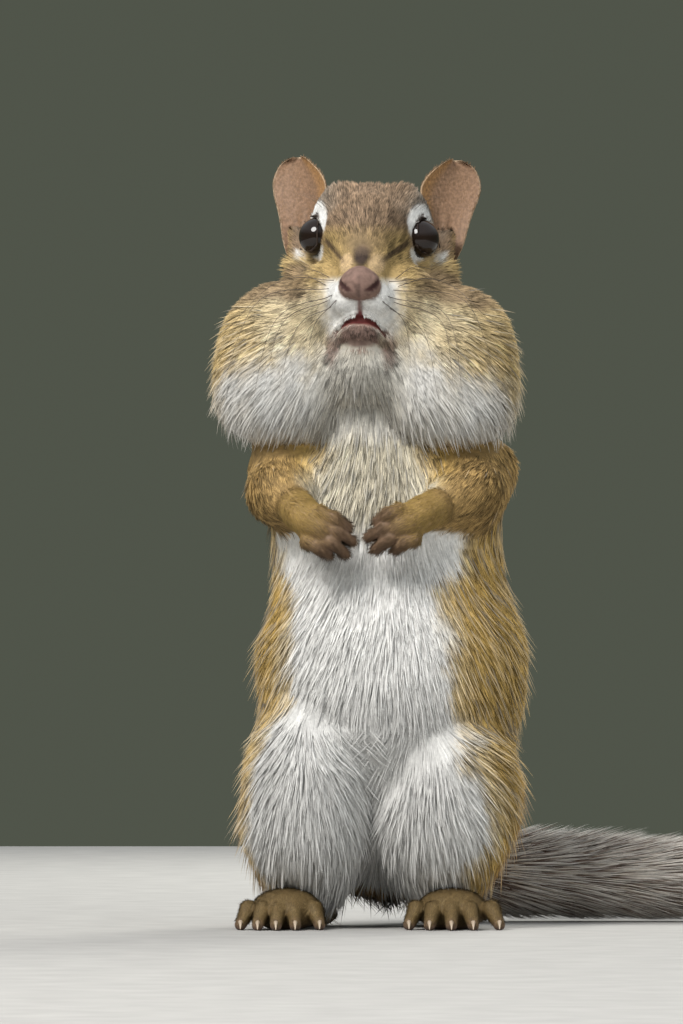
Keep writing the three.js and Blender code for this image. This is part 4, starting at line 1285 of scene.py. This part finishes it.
def ear_point(side, t, v, depth):
    """A point of the ear at share t of its height and v across it, from -1 to 1."""
    axis = unit(mirrored(EAR_AXIS, side))
    facing = mirrored(EAR_FACING, side)
    facing = unit(facing - (facing @ axis) * axis)
    across = np.cross(facing, axis)
    outer, inner = ear_edge(EAR_OUTER, t), ear_edge(EAR_INNER, t)
    offset = side * (inner - outer) / 2 + v * (inner + outer) / 2
    fold = EAR_CUP * v * v * (0.4 + 0.6 * (1 - t)) - EAR_CUP - depth
    point = mirrored(EAR_FOOT, side) + axis * (EAR_HEIGHT * t)[..., None]
    point = point + across * offset[..., None] + facing * fold[..., None]
    return point @ HEAD_TURN.T + HEAD_AT


EAR_ROWS = 44
EAR_COLUMNS = 32


def ear_mesh(side, t, v):
    """Front, back and rim of an ear as one closed mesh, and the middle of its tip."""
    thick = 0.95 * (1 - 0.6 * np.maximum(np.abs(v) ** 3, fade(0.8, 1, t)))
    ridge = 0.8 * np.exp(-((v + 0.1 * side) ** 2) / 0.03) * fade(0.62, 0.3, t)
    front = ear_point(side, t, v, 0.12 - ridge)
    back = ear_point(side, t, v, 0.12 + thick)
    stride = EAR_COLUMNS + 1
    offset = (EAR_ROWS + 1) * stride
    i, j = np.meshgrid(np.arange(EAR_ROWS), np.arange(EAR_COLUMNS), indexing="ij")
    a = (i * stride + j).ravel()
    front_quads = np.stack([a, a + stride, a + stride + 1, a + 1], axis=-1)
    rim = list(range(EAR_COLUMNS)) + [r * stride + EAR_COLUMNS for r in range(EAR_ROWS)]
    rim += [EAR_ROWS * stride + c for c in range(EAR_COLUMNS, 0, -1)]
    rim = np.array(rim + [r * stride for r in range(EAR_ROWS, 0, -1)])
    after = np.roll(rim, -1)
    rim_quads = np.stack([rim, after, after + offset, rim + offset], axis=-1)
    points = np.concatenate([front.reshape(-1, 3), back.reshape(-1, 3)])
    quads = np.concatenate([front_quads, front_quads[:, ::-1] + offset, rim_quads])
    return points, quads, front[-1].mean(axis=0)


def ear_tones(side, t, v):
    """Lighter inside than behind, with a tawny outer fringe, a pale rim and painted shade for the slit at the
    foot.
    """
    inside = np.concatenate([np.ones(t.size), np.zeros(t.size)])
    tone = mix(colour(0.17, 0.105, 0.07), colour(0.24, 0.145, 0.09), inside)
    fringe = np.tile(fade(0.35, 0.8, v * side).ravel(), 2)
    tone = mix(tone, colour(0.36, 0.19, 0.07), fringe * 0.8)
    edge = np.tile(np.maximum(np.abs(v), fade(0.86, 1, t)).ravel(), 2)
    tone = mix(tone, colour(0.50, 0.38, 0.26), fade(0.93, 1.0, edge) * 0.7)
    # the slit at the ear's foot, near black: painted shade in its hollow
    slit_shade = np.exp(-((v * side + 0.35) ** 2) / 0.08) * fade(0.42, 0.28, t) * fade(0.0, 0.1, t)
    return mix(tone, colour(0.05, 0.018, 0.014), np.tile(slit_shade.ravel(), 2) * inside * 0.95)


def build_ear(side_name, side):
    heights = 0.02 + 0.975 * (1 - (1 - np.linspace(0, 1, EAR_ROWS + 1)) ** 1.5)
    t, v = np.meshgrid(heights, np.linspace(-1, 1, EAR_COLUMNS + 1), indexing="ij")
    points, quads, top = ear_mesh(side, t, v)
    normals = vertex_normals(points, quads)
    obj = make_object(f"ear_shell_{side_name}", points, quads)
    paint(obj, ear_tones(side, t, v))
    obj.data.materials.append(painted_material(f"ear_skin_{side_name}", 0.6, 1600, 0.5, 0.3))
    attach(obj, "root")
    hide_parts(f"ear_{side_name}")
    axis = HEAD_TURN @ unit(mirrored(EAR_AXIS, side))
    small_fur(
        f"ear_coat_{side_name}", points, quads, normals, axis, 12, 0.9,
        lambda p: mix(colour(0.27, 0.15, 0.07), GRIZZLE * 0.9, 0.4 + noise(p, 1.2, 71) * 0.2),
        lambda p: fade(1.5, 2.5, apart(p, top)),
    )


# Each whisker starts at x, z on the face and runs by two more points over the cheek, held off it by some mm
WHISKERS = [
    [(5.5, -9.5), (17, -9.5), (27, -19), 1.2],
    [(6.4, -11.2), (20, -13.0), (27.5, -29), 1.6],
    [(5.6, -12.6), (17, -17), (21.5, -35), 1.8],
    [(6.6, -13.6), (16, -18), (19.5, -31), 1.4],
    [(5.8, -14.8), (12.5, -19.5), (16, -33), 1.6],
    [(7.2, -10.4), (13, -8.6), (19, -9.6), 1.0],
    [(6.6, -8.8), (11, -6.6), (16.5, -6.8), 0.8],
    [(4.6, -13.6), (9.5, -18), (11, -27), 1.5],
]


WHISKER_RADIUS = 0.085
BROW_HAIR_RADIUS = 0.05


def whisker(side, start, middle, end, out):
    shift = rng.uniform(-0.8, 0.8, 4)
    flat = np.array([start, middle + shift[:2], end + shift[2:]])
    line = curve_through(np.concatenate([flat, np.zeros((3, 1))], axis=1), 15)
    s = np.linspace(0, 1, 15)
    path = np.array([on_face(x, z, out * min(1, 4 * t) - 0.3) for (x, z, _), t in zip(line, s)])
    path[:, 0] *= side
    return tube(path @ HEAD_TURN.T + HEAD_AT, WHISKER_RADIUS * (1 - 0.8 * s), 5)


def brow_hair(side, i):
    start = np.array([side * (7.5 + i * 0.9), -4.0 + i, 5.5])
    s = np.linspace(0, 1, 11)[:, None]
    bend = np.array([side * 1, 4, -2]) * s**2
    path = start + unit(np.array([side * 0.7, -0.3, 0.7])) * 7 * s + bend
    return tube(path @ HEAD_TURN.T + HEAD_AT, BROW_HAIR_RADIUS * (1 - 0.85 * s[:, 0]), 5)


def build_whiskers():
    parts = []
    for side in SIDES.values():
        parts += [whisker(side, *row) for row in WHISKERS]
        parts += [brow_hair(side, i) for i in range(3)]
    points, quads = joined(parts)
    obj = make_object("whiskers", points, quads)
    material, _, _ = speckled_material("whisker", 0.4, 0.5, 60, (0.012, 0.009, 0.008), (0.12, 0.09, 0.07))
    obj.data.materials.append(material)
    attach(obj, "root")


# Stage, light and camera


def build_stage():
    low_x, low_y = to_frame([[-600, -1000, 0]])[0][:2]
    high_x, high_y = to_frame([[600, 900, 0]])[0][:2]
    corners = [(low_x, low_y, 0), (high_x, low_y, 0), (high_x, high_y, 0), (low_x, high_y, 0)]
    mesh = bpy.data.meshes.new("floor")
    mesh.from_pydata(corners, [], [(0, 1, 2, 3)])
    floor = bpy.data.objects.new("floor", mesh)
    bpy.context.scene.collection.objects.link(floor)
    dark, light = (0.36, 0.35, 0.335), (0.42, 0.41, 0.39)
    material, grain, _ = speckled_material("floor", 0.85, 0.2, 90, dark, light, (0.3, 0.75), 8)
    tree = material.node_tree
    link(tree, add_node(tree, "TexCoord").outputs["Object"], grain.inputs["Vector"])
    floor.data.materials.append(material)


def pointed(obj, place, target):
    """Puts a light or the camera at a place, facing a target."""
    at = Vector(to_frame([place])[0])
    obj.location = at
    obj.rotation_euler = (Vector(to_frame([target])[0]) - at).to_track_quat("-Z", "Y").to_euler()
    bpy.context.scene.collection.objects.link(obj)


LIGHTS_AIM = [0, 0, 80]


def add_area(name, place, size, power, tint, in_eyes=True):
    light = bpy.data.lights.new(name, "AREA")
    light.shape = "DISK"
    light.size = size
    light.energy = power
    light.color = tint
    obj = bpy.data.objects.new(name, light)
    obj.visible_glossy = in_eyes
    pointed(obj, place, LIGHTS_AIM)


# The sky from straight down to straight up: share of the way, colour
SKY = (
    (0.40, (0.30, 0.29, 0.27, 1)),
    (0.47, (0.13, 0.145, 0.11, 1)),
    (0.60, (0.13, 0.145, 0.11, 1)),
    (0.80, (0.95, 1.0, 1.05, 1)),
)


def build_light():
    world = bpy.data.worlds.new("world")
    bpy.context.scene.world = world
    world.use_nodes = True
    tree = world.node_tree
    background = tree.nodes["Background"]
    background.inputs["Strength"].default_value = 0.62
    coords = add_node(tree, "TexCoord")
    split_ways = add_node(tree, "SeparateXYZ")
    height = add_node(tree, "MapRange", From_Min=-1, From_Max=1)
    ramp = add_node(tree, "ValToRGB")
    stops = ramp.color_ramp.elements
    for stop, (position, tint) in zip(stops, (SKY[0], SKY[-1])):
        stop.position = position
        stop.color = tint
    for position, tint in SKY[1:-1]:
        stops.new(position).color = tint
    link(tree, coords.outputs["Generated"], split_ways.inputs["Vector"])
    link(tree, split_ways.outputs["Z"], height.inputs["Value"])
    link(tree, height.outputs["Result"], ramp.inputs["Fac"])
    link(tree, ramp.outputs["Color"], background.inputs["Color"])
    add_area("key", [-420, -640, 800], 0.5, 12.5, (1.0, 0.98, 0.95))
    add_area("fill", [500, -800, 250], 0.7, 2.2, (0.95, 0.98, 1.0), False)
    add_area("rim", [300, 600, 500], 0.4, 6, (1.0, 1.0, 0.95), False)


CAMERA_DISTANCE = 1600
FRAME_MIDDLE = [-8.7, 0, 83.2]
MM_PER_PIXEL = 0.2
PICTURE_HEIGHT = 1024
FAR_END = 20  # metres


def build_camera():
    camera = bpy.data.cameras.new("camera")
    camera.sensor_fit = "VERTICAL"
    camera.sensor_height = 36
    camera.lens = camera.sensor_height * CAMERA_DISTANCE / (PICTURE_HEIGHT * MM_PER_PIXEL)
    camera.clip_end = FAR_END
    obj = bpy.data.objects.new("camera", camera)
    pointed(obj, [FRAME_MIDDLE[0], -CAMERA_DISTANCE, 45], FRAME_MIDDLE)
    bpy.context.scene.camera = obj


def main():
    build_camera()
    build_light()
    build_stage()
    points, quads, normals = build_skin()
    build_coat(points, quads, normals)
    for side_name, side in SIDES.items():
        build_forepaw(side_name)
        build_hindfoot(side_name)
        build_eye(side_name, side)
        build_ear(side_name, side)
    build_tail()
    build_whiskers()
    bpy.context.scene.view_settings.view_transform = "Standard"


main()
